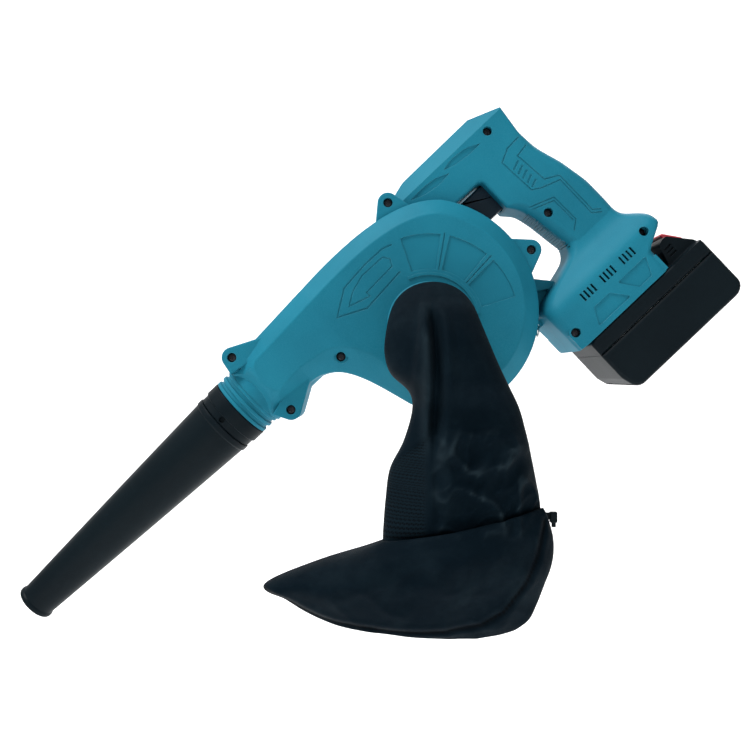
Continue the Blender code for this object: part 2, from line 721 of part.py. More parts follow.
def fan(frame, motor_start, motor_end):
    """Impeller, shaft and rotor, which spin together."""
    back = FAN_BACK_Y
    tip = back - FAN_BLADE_HEIGHT
    hub_radius = 8 * MM
    wheel = turned("impeller", frame,
                   [(FAN_RADIUS, back), (FAN_RADIUS, back - 2 * MM), (hub_radius, back - 3 * MM),
                    (hub_radius - 1 * MM, tip + 8 * MM), (SHAFT_RADIUS + 0.3 * MM, tip + 8 * MM),
                    (SHAFT_RADIUS + 0.3 * MM, back)], "Y", "black_plastic", 32)
    for blade in range(FAN_BLADES):
        vane = box(f"vane_{blade}", frame, (hub_radius - 1.5 * MM, FAN_RADIUS - 1 * MM),
                   (tip, back - 1 * MM), (-1 * MM, 1 * MM))
        vane.rotation_euler = (0, 2 * math.pi * blade / FAN_BLADES, 0)
        join(wheel, vane)
    rod("motor_shaft", frame, 0, 0, SHAFT_RADIUS, (tip + 3 * MM, motor_end + 5 * MM),
        "steel", 20)
    nut_bore = (SHAFT_RADIUS + FIT_GAP) / math.cos(math.pi / 6)
    turned("shaft_nut", frame,
           [(5 * MM, tip + 7.7 * MM), (5 * MM, tip + 4 * MM), (nut_bore, tip + 4 * MM),
            (nut_bore, tip + 7.7 * MM)], "Y", "steel", 6)
    core = SHAFT_RADIUS + FIT_GAP
    turned("rotor", frame,
           [(15.5 * MM, motor_end - 11 * MM), (15.5 * MM, motor_start + 6 * MM),
            (core, motor_start + 6 * MM), (core, motor_end - 11 * MM)], "Y", "copper", 24)
    turned("commutator", frame,
           [(6 * MM, motor_end - 2 * MM), (6 * MM, motor_end - 10 * MM),
            (core, motor_end - 10 * MM), (core, motor_end - 2 * MM)], "Y", "copper", 16)


def electrics(frame, motor_end):
    """Switch, terminal block and the leads between them and the motor."""
    box("switch_body", frame, (120.5 * MM, 142 * MM), (-8.5 * MM, 8.5 * MM),
        (28 * MM, 50 * MM), "black_plastic")
    block_low = BASE_BOTTOM + 1.2 * MM
    block = box("terminal_block", frame, (84.5 * MM, 95 * MM), (-14.5 * MM, 14.5 * MM),
                (block_low, BASE_BOTTOM + RAIL_HEIGHT + 6 * MM), "black_plastic")
    for number, y in enumerate((-8 * MM, 8 * MM)):
        join(block, box(f"blade_contact_{number}", frame, (94 * MM, 106 * MM),
                        (y - 0.5 * MM, y + 0.5 * MM), (block_low + 1 * MM, block_low + 6 * MM)))
    top = BASE_BOTTOM + RAIL_HEIGHT + 7 * MM
    wire("battery_lead", frame, smooth_route([
        (88 * MM, -6 * MM, top), (88 * MM, -6 * MM, top + 8 * MM), (118 * MM, -4 * MM, -50 * MM),
        (139 * MM, 3 * MM, -20 * MM), (140 * MM, 3 * MM, 0), (131 * MM, 2 * MM, 18 * MM),
        (131 * MM, 2 * MM, 27.4 * MM)], 4), 1.3 * MM, "red")
    red_start = [(128 * MM, 3.2 * MM, 50.6 * MM), (128 * MM, 3.2 * MM, 58 * MM),
                 (112 * MM, 8 * MM, 65 * MM)]
    black_start = [(91 * MM, 6 * MM, top), (91 * MM, 6 * MM, top + 8 * MM),
                   (122 * MM, 8 * MM, -45 * MM), (147 * MM, 11.3 * MM, 0),
                   (138 * MM, 11.3 * MM, 45 * MM), (134 * MM, 11.3 * MM, 60 * MM),
                   (116 * MM, 12 * MM, 70 * MM)]
    wire("motor_lead_red", frame, smooth_route(red_start + lead_to_motor(-1, motor_end), 3),
         1.2 * MM, "red")
    wire("motor_lead_black", frame, smooth_route(black_start + lead_to_motor(1, motor_end), 3),
         1.2 * MM, "black_plastic")


def lead_to_motor(side, motor_end):
    """Shared run of a motor lead: arm, cable channel and motor chamber, beside its twin."""
    end_y = motor_end - 8 * MM
    reach = MOTOR_RADIUS + 1.2 * MM
    run = [(97 * MM, 12 * MM), (95 * MM, 19 * MM), (86 * MM, 29 * MM), (50 * MM, 30 * MM),
           (27.5 * MM, 32.5 * MM), (25 * MM, end_y - 4 * MM), (24.5 * MM, end_y), (reach, end_y)]
    beside = 3 * MM * side
    diagonal = math.sqrt(0.5)
    points = [(88 * MM, 12 * MM, 67 * MM + 2 * MM * side)]
    for away, y in run:
        points.append(((away - beside) * diagonal, y, (away + beside) * diagonal))
    return points


# ---------------------------------------------------------------- moving pieces

def trigger(frame):
    """Finger trigger, which slides rearward into the grip."""
    outline = [(86 * MM, 30 * MM), (85 * MM, 38 * MM), (86.5 * MM, 48.3 * MM),
               (112 * MM, 48.3 * MM), (112 * MM, 30 * MM), (104 * MM, 24.7 * MM),
               (90 * MM, 24.7 * MM)]
    plate("trigger", frame, outline, (-TRIGGER_HALF_WIDTH, TRIGGER_HALF_WIDTH), 1.5 * MM,
          finish="black_plastic")
    coil_turns = 5
    steps = coil_turns * 8
    start = 112.8 * MM
    length = 7 * MM
    coil = []
    for step in range(steps + 1):
        angle = 2 * math.pi * coil_turns * step / steps
        coil.append((start + length * step / steps, 3.5 * MM * math.cos(angle),
                     39 * MM + 3.5 * MM * math.sin(angle)))
    wire("trigger_spring", frame, coil, 0.4 * MM, "steel")


def battery(frame):
    """Slide-in pack: lower case, rail lid, two rows of cells, contacts and release button."""
    top = BASE_BOTTOM - FIT_GAP
    bottom = top - PACK_HEIGHT
    front, rear = PACK_FRONT_X, PACK_FRONT_X + PACK_LENGTH
    seam = top - PACK_SEAM_DROP
    tub_outline = [(front, seam), (rear, seam), (rear, bottom + 9 * MM),
                   (rear - 9 * MM, bottom), (front + 9 * MM, bottom), (front, bottom + 9 * MM)]
    half = PACK_HALF_WIDTH
    tub = plate("battery_tub", frame, tub_outline, (-half, half), 3 * MM, finish="black_plastic")
    cut(tub, box("tub_hollow", frame, (front + WALL, rear - WALL),
                 (-half + WALL, half - WALL), (bottom + WALL, seam + 20 * MM)))
    lid_outline = [(front + 3 * MM, top), (rear - 26 * MM, top), (rear - 22 * MM, top + 16 * MM),
                   (rear - 16 * MM, top + 17.5 * MM), (rear - 1 * MM, top + 1 * MM),
                   (rear, top - 4 * MM), (rear, seam + FIT_GAP), (front, seam + FIT_GAP),
                   (front, top - 3 * MM)]
    lid = plate("battery_lid", frame, lid_outline, (-half, half), 2.5 * MM,
                finish="black_plastic")
    for side in (-1, 1):
        limits = sorted((side * 28 * MM, side * 60 * MM))
        cut(lid, box(f"lid_shoulder_{side}", frame, (rear - 40 * MM, rear + 10 * MM), limits,
                     (top - 0.5 * MM, top + 30 * MM)))
    join(lid, battery_channel("pack_rail", frame, 0, (front + 12 * MM, rear - 20 * MM)))
    cut(lid, box("lid_hollow", frame, (front + WALL, rear - WALL),
                 (-half + WALL, half - WALL), (seam - 10 * MM, top - WALL)))
    cut(lid, box("terminal_notch", frame, (front, 95.4 * MM), (-15 * MM, 15 * MM),
                 (BASE_BOTTOM + 0.7 * MM, BASE_BOTTOM + RAIL_HEIGHT + 5 * MM)))
    for number, y in enumerate((-8 * MM, 8 * MM)):
        cut(lid, box(f"contact_slot_{number}", frame, (90 * MM, 110 * MM),
                     (y - 1 * MM, y + 1 * MM), (BASE_BOTTOM + 1.5 * MM, BASE_BOTTOM + 15 * MM)))
    cut(lid, button_pocket(frame))
    cell_z = (bottom + WALL + 1 * MM + CELL_RADIUS, bottom + WALL + 1.5 * MM + 3 * CELL_RADIUS)
    pitch = 2 * CELL_RADIUS + 0.8 * MM
    first_x = (front + rear) / 2 - pitch * (CELLS_PER_ROW - 1) / 2
    for row, z in enumerate(cell_z):
        for number in range(CELLS_PER_ROW):
            rod(f"cell_{row + 1}_{number + 1}", frame, first_x + pitch * number, z, CELL_RADIUS,
                (-CELL_LENGTH / 2, CELL_LENGTH / 2), "cell_wrap", 14)
    strap_z = (cell_z[0] - 6 * MM, cell_z[1] + 6 * MM)
    for name, y in (("cell_strap_near", -CELL_LENGTH / 2 - 1 * MM),
                    ("cell_strap_far", CELL_LENGTH / 2 + 0.4 * MM)):
        box(name, frame, (first_x - 5 * MM, first_x + pitch * 4 + 5 * MM), (y, y + 0.6 * MM),
            strap_z, "steel")


def button_limits(gap):
    """Front and rear of the release button or of its pocket, and its half-width."""
    rear = PACK_FRONT_X + PACK_LENGTH
    return rear - 15 * MM - gap, rear - 4 * MM + gap, 13 * MM + gap


def button_pocket(frame):
    front, rear, half = button_limits(FIT_GAP)
    return box("button_pocket", frame, (front, rear), (-half, half),
               (BASE_BOTTOM - 20 * MM, BASE_BOTTOM + 40 * MM))


def release_button(frame):
    """Button in the sloping rear of the pack, pressed down to free it."""
    front, rear, half = button_limits(0)
    low = BASE_BOTTOM - 1.5 * MM
    outline = [(front, low), (front, BASE_BOTTOM + 18 * MM), (front + 2 * MM, BASE_BOTTOM + 18 * MM),
               (rear, BASE_BOTTOM + 7 * MM), (rear, low)]
    return plate("release_button", frame, outline, (-half, half), finish="red")


def nozzle(frame):
    """Sleeve that twists on the outlet, and the long tapered tube plugged into it."""
    sleeve_start = DUCT_END_X - COLLAR_LENGTH - FIT_GAP
    sleeve_end = sleeve_start - SLEEVE_LENGTH
    bore = SPIGOT_RADIUS + FIT_GAP
    step = SLEEVE_RADIUS - 1.2 * MM
    turned("nozzle_sleeve", frame,
           [(SLEEVE_RADIUS, sleeve_start), (SLEEVE_RADIUS, sleeve_start - 10 * MM),
            (step, sleeve_start - 10.6 * MM), (step, sleeve_end), (bore, sleeve_end),
            (bore, sleeve_start)], "X", "black_plastic", at=(0, 0, DUCT_Z))
    lip = sleeve_end - FIT_GAP
    plug = lip + NOZZLE_PLUG_LENGTH
    tip = lip - NOZZLE_LENGTH
    wall = NOZZLE_WALL
    turned("nozzle_tube", frame,
           [(SPIGOT_RADIUS, plug), (SPIGOT_RADIUS, lip),
            (NOZZLE_BASE_RADIUS, lip), (NOZZLE_BASE_RADIUS, lip - 4 * MM),
            (NOZZLE_BASE_RADIUS - 0.8 * MM, lip - 5 * MM),
            (NOZZLE_TIP_RADIUS, tip + 4 * MM), (NOZZLE_TIP_RADIUS + 1 * MM, tip + 3 * MM),
            (NOZZLE_TIP_RADIUS + 1 * MM, tip), (NOZZLE_TIP_RADIUS - wall, tip),
            (SPIGOT_RADIUS - wall, lip - 14 * MM), (SPIGOT_RADIUS - wall, plug)],
           "X", "black_plastic", at=(0, 0, DUCT_Z))


def strap_ring(frame):
    """Small wire ring hanging plumb in the eye at the front of the base."""
    cosine, sine = math.cos(CARRY_TILT), math.sin(CARRY_TILT)
    eye = Vector((EYE_X * cosine - EYE_Z * sine, EYE_Y, EYE_X * sine + EYE_Z * cosine))
    ring = []
    for step in range(16):
        angle = 2 * math.pi * step / 16
        ring.append((0, RING_RADIUS * math.cos(angle), RING_RADIUS * (math.sin(angle) - 1)))
    wire("strap_ring", frame, ring, RING_WIRE, "steel", eye, closed=True)


# Bag sections: centre X, Y, Z from the inlet, half-width, half-depth, tilt from level
BAG_SECTIONS = [
    (0, -61, 0, 25, 25, 90),
    (1, -74, -3, 27, 27, 72),
    (5, -86, -16, 30, 27, 38),
    (9, -89, -36, 31, 25, 10),
    (17, -88, -62, 34, 25, 0),
    (20, -87, -88, 42, 27, 0),
    (20, -87, -115, 50, 29, 0),
    (20, -88, -140, 54, 30, 0),
    (6, -90, -160, 72, 27, -6),
    (-16, -92, -176, 88, 20, -8),
    (-8, -92, -192, 66, 14, -8),
    (8, -92, -204, 36, 8, -3),
]


def bag(hang):
    """Cuff ring on the inlet, and the hanging cloth as a plain closed form."""
    inner = INLET_RADIUS + FIT_GAP
    outer = inner + BAG_COLLAR_WALL
    near = FACE_NEAR - INLET_LENGTH
    turned("bag_collar", hang,
           [(outer, FACE_NEAR - 2 * MM), (outer, near), (inner, near), (inner, FACE_NEAR - 2 * MM)],
           "Y", "black_plastic")
    edit = bmesh.new()
    rings = []
    sides = 20
    for x, y, z, wide, deep, lean in BAG_SECTIONS:
        ring = []
        for side in range(sides):
            angle = 2 * math.pi * side / sides
            across = deep * math.sin(angle)
            tip = math.radians(lean) if lean > 0 else 0
            slope = math.radians(lean) if lean < 0 else 0
            along_x = wide * math.cos(angle)
            place = Vector((x + along_x, y - across * math.cos(tip),
                            z + across * math.sin(tip) - along_x * math.sin(slope)))
            ring.append(edit.verts.new(place * MM))
        rings.append(ring)
    for upper, lower in zip(rings, rings[1:]):
        for side in range(sides):
            following = (side + 1) % sides
            edit.faces.new((upper[side], upper[following], lower[following], lower[side]))
    edit.faces.new(rings[0])
    edit.faces.new(rings[-1])
    object_from_bmesh("bag_cloth", edit, hang, "cloth")
    box("zip_slider", hang, (74.2 * MM, 79 * MM), (-90 * MM, -86 * MM),
        (-134 * MM, -124 * MM), "black_plastic")


# ---------------------------------------------------------------- the whole tool

def build():
    grip = Vector((GRIP_MIDDLE_X * math.cos(CARRY_TILT), 0, GRIP_MIDDLE_X * math.sin(CARRY_TILT)))
    tool = make_frame("tool_frame", -grip, tilt=CARRY_TILT)
    hang = make_frame("inlet_frame", -grip)
    housing(tool)
    inlet_spigot(tool)
    screws(tool)
    motor_start, motor_end = motor(tool)
    fan(tool, motor_start, motor_end)
    electrics(tool, motor_end)
    trigger(tool)
    battery(tool)
    release_button(tool)
    nozzle(tool)
    strap_ring(hang)
    bag(hang)


if __name__ == "__main__":
    clear_scene()
    PARTS = make_collection("leaf_blower")
    CUTTERS = make_collection("cutters")
    build()
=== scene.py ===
"""Looks of a cordless two-in-one leaf blower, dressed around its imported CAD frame.

The rigid pieces are modelled in the tool's own level frame, with X rearward, Z up and the fan
axis at its origin, and are then laid into the carried pose that the frame's joints give.
The bag hangs plumb, so it is modelled from the fan axis without the tilt.
"""
from __future__ import annotations

import json
import logging
import math
from collections.abc import Callable, Iterator, Sequence
from contextlib import contextmanager
from dataclasses import dataclass
from enum import Enum

import bpy
from mathutils import Matrix, Vector, noise

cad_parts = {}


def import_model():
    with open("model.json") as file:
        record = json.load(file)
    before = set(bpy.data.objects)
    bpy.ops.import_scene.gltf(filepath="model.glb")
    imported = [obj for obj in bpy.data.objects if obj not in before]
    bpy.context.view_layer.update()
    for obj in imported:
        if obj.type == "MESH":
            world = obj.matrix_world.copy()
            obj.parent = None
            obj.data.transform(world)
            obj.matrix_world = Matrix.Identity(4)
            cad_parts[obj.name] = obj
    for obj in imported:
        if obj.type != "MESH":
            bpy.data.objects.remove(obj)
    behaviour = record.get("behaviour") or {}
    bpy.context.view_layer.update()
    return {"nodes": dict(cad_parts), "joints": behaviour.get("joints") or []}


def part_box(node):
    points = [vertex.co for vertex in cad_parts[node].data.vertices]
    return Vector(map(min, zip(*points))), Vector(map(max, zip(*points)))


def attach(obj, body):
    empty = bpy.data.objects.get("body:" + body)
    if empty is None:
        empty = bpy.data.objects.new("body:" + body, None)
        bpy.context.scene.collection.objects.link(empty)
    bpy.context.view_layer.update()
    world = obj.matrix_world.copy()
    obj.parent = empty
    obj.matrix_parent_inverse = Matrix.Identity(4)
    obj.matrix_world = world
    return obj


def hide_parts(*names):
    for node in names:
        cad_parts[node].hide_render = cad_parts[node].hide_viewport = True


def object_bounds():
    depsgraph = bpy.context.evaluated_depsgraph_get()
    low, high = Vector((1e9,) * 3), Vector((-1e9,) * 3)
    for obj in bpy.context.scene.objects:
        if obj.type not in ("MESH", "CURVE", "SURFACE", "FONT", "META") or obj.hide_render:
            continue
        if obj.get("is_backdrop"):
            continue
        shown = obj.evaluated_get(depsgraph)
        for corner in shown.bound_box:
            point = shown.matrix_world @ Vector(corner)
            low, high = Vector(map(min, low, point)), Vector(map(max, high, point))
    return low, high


LOG = logging.getLogger("leaf_blower")
MM = 0.001
WELD = 0.002 * MM  # points closer than this become one
SMOOTH_ANGLE = 32  # degrees; sharper edges stay sharp
RIM_STEPS = 6  # steps of a pack edge's rounding
FINE_TURN = 96  # segments round a turned form
HEAD_DEPTH = 4 * MM  # from a post's near end to the seat of its screw's head
THREAD_LIMIT = 12 * MM  # Y that no thread reaches

Flat = tuple[float, float]
Rim = Sequence[Flat]


# ---------------------------------------------------------------- outlines

def turn_between(start: float, end: float) -> float:
    """Shortest signed turn from one angle to another."""
    return (end - start + math.pi) % (2 * math.pi) - math.pi


def corner_arc(before: Flat, corner: Flat, after: Flat, radius: float, steps: int) -> list[Flat]:
    """Points of the arc that rounds one corner.

    Args:
        before: Point that the corner is reached from.
        corner: The sharp corner.
        after: Point that the corner leads to.
        radius: Radius of the arc, cut down where the sides are short.
        steps: Segments of the arc.

    Returns:
        The arc's points, or the corner alone where there is nothing to round.
    """
    here = Vector(corner)
    arriving = Vector(before) - here
    leaving = Vector(after) - here
    half = arriving.angle(leaving) / 2
    if radius <= 0 or half > math.radians(89.5):
        return [corner]
    reach = min(radius / math.tan(half), 0.49 * arriving.length, 0.49 * leaving.length)
    radius = reach * math.tan(half)
    start = here + arriving.normalized() * reach
    end = here + leaving.normalized() * reach
    centre = here + (arriving.normalized() + leaving.normalized()).normalized() * radius / math.sin(half)
    first = math.atan2(start.y - centre.y, start.x - centre.x)
    sweep = turn_between(first, math.atan2(end.y - centre.y, end.x - centre.x))
    return [(centre.x + radius * math.cos(first + sweep * step / steps),
             centre.y + radius * math.sin(first + sweep * step / steps)) for step in range(steps + 1)]


def rounded(corners: Sequence[tuple[float, float, float]], steps: int = 5) -> list[Flat]:
    """Closed outline from corners given as (x, z, radius), all in millimetres."""
    flat = [(x * MM, z * MM) for x, z, _radius in corners]
    points: list[Flat] = []
    for index, (_x, _z, radius) in enumerate(corners):
        following = flat[(index + 1) % len(flat)]
        points += corner_arc(flat[index - 1], flat[index], following, radius * MM, steps)
    return points


def shrunk(outline: Sequence[Flat], distances: Sequence[float]) -> list[Flat]:
    """Closed outline moved inward by one distance for each point, with mitred corners."""
    ahead = [*outline[1:], outline[0]]
    behind = [outline[-1], *outline[:-1]]
    area = sum(a[0] * b[1] - b[0] * a[1] for a, b in zip(outline, ahead))
    inward = 1 if area > 0 else -1
    moved = []
    for before, here, after, distance in zip(behind, outline, ahead, distances):
        arriving = (Vector(here) - Vector(before)).normalized()
        leaving = (Vector(after) - Vector(here)).normalized()
        first = Vector((-arriving.y, arriving.x)) * inward
        second = Vector((-leaving.y, leaving.x)) * inward
        mitre = (first + second) / max(1 + first.dot(second), 0.2)
        moved.append(tuple(Vector(here) + mitre * distance))
    return moved


def bezier(start: Flat, first: Flat, second: Flat, end: Flat, steps: int) -> list[Flat]:
    """Points inside a cubic curve, without its ends."""
    points = []
    for step in range(1, steps):
        t = step / steps
        s = 1 - t
        points.append(tuple(s ** 3 * a + 3 * s * s * t * b + 3 * s * t * t * c + t ** 3 * d
                            for a, b, c, d in zip(start, first, second, end)))
    return points


def turns_right(first: Flat, second: Flat, third: Flat) -> bool:
    """Whether the way through three points bends to the right or goes straight on."""
    return ((second[0] - first[0]) * (third[1] - first[1])
            <= (second[1] - first[1]) * (third[0] - first[0]))


def hull(points: Sequence[Flat]) -> list[Flat]:
    """Convex outline round a set of flat points."""
    ordered = sorted(set(points))
    sides = []
    for run in (ordered, ordered[::-1]):
        side: list[Flat] = []
        for point in run:
            while len(side) > 1 and turns_right(side[-2], side[-1], point):
                side.pop()
            side.append(point)
        sides.append(side[:-1])
    return sides[0] + sides[1]


def circle(x: float, z: float, radius: float, sides: int) -> list[Flat]:
    """Flat circle as a list of points."""
    return [(x + radius * math.cos(2 * math.pi * side / sides),
             z + radius * math.sin(2 * math.pi * side / sides)) for side in range(sides)]


def smooth_value(stops: Sequence[Sequence[float]], at: float) -> list[float]:
    """Values between stops, each stop a place followed by its values, joined smoothly."""
    places = [stop[0] for stop in stops]
    if at <= places[0]:
        return list(stops[0][1:])
    if at >= places[-1]:
        return list(stops[-1][1:])
    index = max(i for i, place in enumerate(places[:-1]) if place <= at)
    span = places[index + 1] - places[index]
    t = (at - places[index]) / span
    values = []
    for item in range(1, len(stops[0])):
        def slope(at_stop: int) -> float:
            """Slope through a stop, from its neighbours."""
            low, high = max(at_stop - 1, 0), min(at_stop + 1, len(stops) - 1)
            return (stops[high][item] - stops[low][item]) / (places[high] - places[low])
        start, end = stops[index][item], stops[index + 1][item]
        first, last = slope(index) * span, slope(index + 1) * span
        values.append((2 * t ** 3 - 3 * t * t + 1) * start + (t ** 3 - 2 * t * t + t) * first
                      + (3 * t * t - 2 * t ** 3) * end + (t ** 3 - t * t) * last)
    return values


# ---------------------------------------------------------------- modelling in edit mode

def choose(*pieces: bpy.types.Object) -> None:
    """Select these objects alone, the last of them active."""
    for thing in list(bpy.context.selected_objects):
        thing.select_set(False)
    for piece in pieces:
        piece.select_set(True)
        bpy.context.view_layer.objects.active = piece


@contextmanager
def editing(piece: bpy.types.Object) -> Iterator[None]:
    """Edit mode on one piece, with all of it selected to begin with."""
    choose(piece)
    bpy.ops.object.mode_set(mode="EDIT")
    bpy.ops.mesh.select_all(action="SELECT")
    yield
    bpy.ops.object.mode_set(mode="OBJECT")


def named(name: str) -> bpy.types.Object:
    """Name the object that an operator has just added, and its mesh."""
    piece = bpy.context.view_layer.objects.active
    piece.name = name
    piece.data.name = name
    return piece


def place_vertices(piece: bpy.types.Object, places: Sequence[Sequence[float]]) -> None:
    """Put a mesh's vertices, in order, at new places."""
    piece.data.vertices.foreach_set("co", [number for place in places for number in place])
    piece.data.update()


def lofted(name: str, rings: Sequence[Sequence[Sequence[float]]]) -> bpy.types.Object:
    """Skin over closed rings of equal count, from a grid wrapped round them and closed at its ends.

    Args:
        name: Name of the new object.
        rings: Rings of points, from one end to the other.

    Returns:
        The new object, with its normals pointing out.
    """
    choose()
    around = len(rings[0])
    bpy.ops.mesh.primitive_grid_add(x_subdivisions=around, y_subdivisions=len(rings) - 1)
    piece = named(name)
    place_vertices(piece, [place for ring in rings for place in [*ring, ring[0]]])
    with editing(piece):
        bpy.ops.mesh.remove_doubles(threshold=WELD)
        bpy.ops.mesh.select_all(action="SELECT")
        bpy.ops.mesh.fill_holes(sides=0)
        bpy.ops.mesh.select_all(action="SELECT")
        bpy.ops.mesh.normals_make_consistent(inside=False)
    return piece


def spun(name: str, profile: Sequence[Flat], centre: Sequence[float], axis: str,
         steps: int = FINE_TURN) -> bpy.types.Object:
    """Closed (radius, height) profile spun about X or Y.

    Args:
        name: Name of the new object.
        profile: Corners of the closed section.
        centre: Point on the axis.
        axis: "X" or "Y", the direction of the heights.
        steps: Segments round the axis.

    Returns:
        The new object.
    """
    choose()
    bpy.ops.mesh.primitive_circle_add(vertices=len(profile), fill_type="NOTHING")
    piece = named(name)
    middle = Vector(centre)
    along = Vector((1, 0, 0)) if axis == "X" else Vector((0, 1, 0))
    place_vertices(piece, [middle + along * height + Vector((0, 0, radius))
                           for radius, height in profile])
    with editing(piece):
        bpy.ops.mesh.spin(steps=steps, angle=2 * math.pi, center=middle, axis=along)
        bpy.ops.mesh.select_all(action="SELECT")
        bpy.ops.mesh.remove_doubles(threshold=WELD)
        bpy.ops.mesh.dissolve_degenerate(threshold=WELD)
        bpy.ops.mesh.delete_loose(use_faces=False)
        bpy.ops.mesh.select_all(action="SELECT")
        bpy.ops.mesh.normals_make_consistent(inside=False)
    return piece


def slab(name: str, outline: Sequence[Flat], near: float, far: float,
         near_rim: Rim = ((0, 0),), far_rim: Rim = ((0, 0),),
         inset: Callable[[float, float], float] = lambda x, z: 1.0,
         depth: Callable[[float, float], float] = lambda x, z: 1.0) -> bpy.types.Object:
    """Outline in X and Z, thick along Y, with shaped rims.

    Args:
        name: Name of the new object.
        outline: Closed outline.
        near: Y of the near face.
        far: Y of the far face.
        near_rim: (inset, depth) pairs from the flat near face out to the side wall.
        far_rim: The same for the far face.
        inset: Factor on a rim's insets at a point of the outline.
        depth: Factor on a rim's depths at a point of the outline.

    Returns:
        The new object.
    """
    rings = []
    for rim, face, way in ((near_rim, near, 1), (far_rim[::-1], far, -1)):
        for inward, down in rim:
            flat = shrunk(outline, [inward * inset(x, z) for x, z in outline])
            rings.append([(x, face + way * down * depth(*corner), z)
                          for (x, z), corner in zip(flat, outline)])
    return lofted(name, rings)


def block(name: str, x: Flat, y: Flat, z: Flat, edge: float = 0.0, segments: int = 2) -> bpy.types.Object:
    """Box with rounded edges.

    Args:
        name: Name of the new object.
        x: Lower and upper limit along X.
        y: Limits along Y.
        z: Limits along Z.
        edge: Size of the bevel, or 0 for sharp edges.
        segments: Segments across the bevel.

    Returns:
        The new object.
    """
    choose()
    bpy.ops.mesh.primitive_cube_add(size=1)
    piece = named(name)
    low, high = Vector((x[0], y[0], z[0])), Vector((x[1], y[1], z[1]))
    place_vertices(piece, [Vector(tuple(b if corner > 0 else a for a, b, corner in
                                        zip(low, high, vertex.co))) for vertex in piece.data.vertices])
    if edge:
        with editing(piece):
            bpy.ops.mesh.bevel(offset=edge, segments=segments)
    return piece


def rod(name: str, x: float, z: float, radius: float, near: float, far: float,
        sides: int = 32) -> bpy.types.Object:
    """Round bar along Y, its axis at x and z, from its near to its far end."""
    return lofted(name, [[(px, y, pz) for px, pz in circle(x, z, radius, sides)] for y in (near, far)])


def wire_loop(name: str, points: Sequence[Vector], radius: float) -> bpy.types.Object:
    """Round wire through points and back to the first, as a mesh."""
    curve = bpy.data.curves.new(name, "CURVE")
    curve.dimensions = "3D"
    curve.bevel_depth = radius
    curve.bevel_resolution = 4
    spline = curve.splines.new("POLY")
    spline.points.add(len(points) - 1)
    for point, place in zip(spline.points, points):
        point.co = (*place, 1)
    spline.use_cyclic_u = True
    piece = bpy.data.objects.new(name, curve)
    bpy.context.scene.collection.objects.link(piece)
    choose(piece)
    bpy.ops.object.convert(target="MESH")
    piece = named(name)
    with editing(piece):
        bpy.ops.mesh.remove_doubles(threshold=WELD)
    return piece


def combine(target: bpy.types.Object, operation: str, *tools: bpy.types.Object) -> bpy.types.Object:
    """Apply one exact Boolean with all of the tools at once, and remove them.

    Args:
        target: The piece to change.
        operation: "UNION", "DIFFERENCE" or "INTERSECT".
        tools: Closed solids; each is used up.

    Returns:
        The target, cleaned of doubled points.
    """
    group = bpy.data.collections.new("tools")
    for tool in tools:
        group.objects.link(tool)
    modifier = target.modifiers.new("combine", "BOOLEAN")
    modifier.operation = operation
    modifier.solver = "EXACT"
    modifier.operand_type = "COLLECTION"
    modifier.collection = group
    modifier.use_hole_tolerant = True
    choose(target)
    bpy.ops.object.modifier_apply(modifier="combine")
    for tool in tools:
        bpy.data.objects.remove(tool, do_unlink=True)
    bpy.data.collections.remove(group)
    with editing(target):
        bpy.ops.mesh.remove_doubles(threshold=WELD)
        bpy.ops.mesh.dissolve_degenerate(threshold=WELD / 2)
    return target


def join(target: bpy.types.Object, *tools: bpy.types.Object) -> bpy.types.Object:
    """Add solids to a piece."""
    return combine(target, "UNION", *tools)


def cut(target: bpy.types.Object, *tools: bpy.types.Object) -> bpy.types.Object:
    """Take solids away from a piece."""
    return combine(target, "DIFFERENCE", *tools)


def gathered(name: str, pieces: Sequence[bpy.types.Object]) -> bpy.types.Object:
    """Several separate solids as one object."""
    choose(*pieces)
    bpy.ops.object.join()
    return named(name)


def copied(piece: bpy.types.Object, name: str) -> bpy.types.Object:
    """Copy of a piece, with a mesh of its own."""
    twin = piece.copy()
    twin.data = piece.data.copy()
    bpy.context.scene.collection.objects.link(twin)
    choose(twin)
    return named(name)


def ribbon(name: str, points: Sequence[Flat], width: float, near: float, far: float) -> bpy.types.Object:
    """Narrow strip along a flat polyline, for a groove or a rib.

    Args:
        name: Name of the new object.
        points: The polyline, in millimetres.
        width: Full width of the strip.
        near: Y of the near face.
        far: Y of the far face.

    Returns:
        The new object.
    """
    line = [Vector((x * MM, z * MM)) for x, z in points]
    sides: tuple[list[Flat], list[Flat]] = ([], [])
    for index, here in enumerate(line):
        arriving = (here - line[index - 1]).normalized() if index else None
        leaving = (line[index + 1] - here).normalized() if index < len(line) - 1 else None
        arriving = arriving or leaving
        leaving = leaving or arriving
        first, second = Vector((-arriving.y, arriving.x)), Vector((-leaving.y, leaving.x))
        mitre = (first + second) / max(1 + first.dot(second), 0.3) * width / 2
        sides[0].append(tuple(here + mitre))
        sides[1].append(tuple(here - mitre))
    return slab(name, sides[0] + sides[1][::-1], near, far)


def finish_surface(piece: bpy.types.Object, angle: float = SMOOTH_ANGLE) -> bpy.types.Object:
    """Clean a finished mesh, shade it smooth and weight its normals by face size."""
    with editing(piece):
        bpy.ops.mesh.remove_doubles(threshold=WELD)
        bpy.ops.mesh.dissolve_degenerate(threshold=WELD)
    choose(piece)
    bpy.ops.object.shade_smooth_by_angle(angle=math.radians(angle))
    weighted = piece.modifiers.new("weighted", "WEIGHTED_NORMAL")
    weighted.keep_sharp = True
    bpy.ops.object.modifier_apply(modifier="weighted")
    return piece


# ---------------------------------------------------------------- shader maths

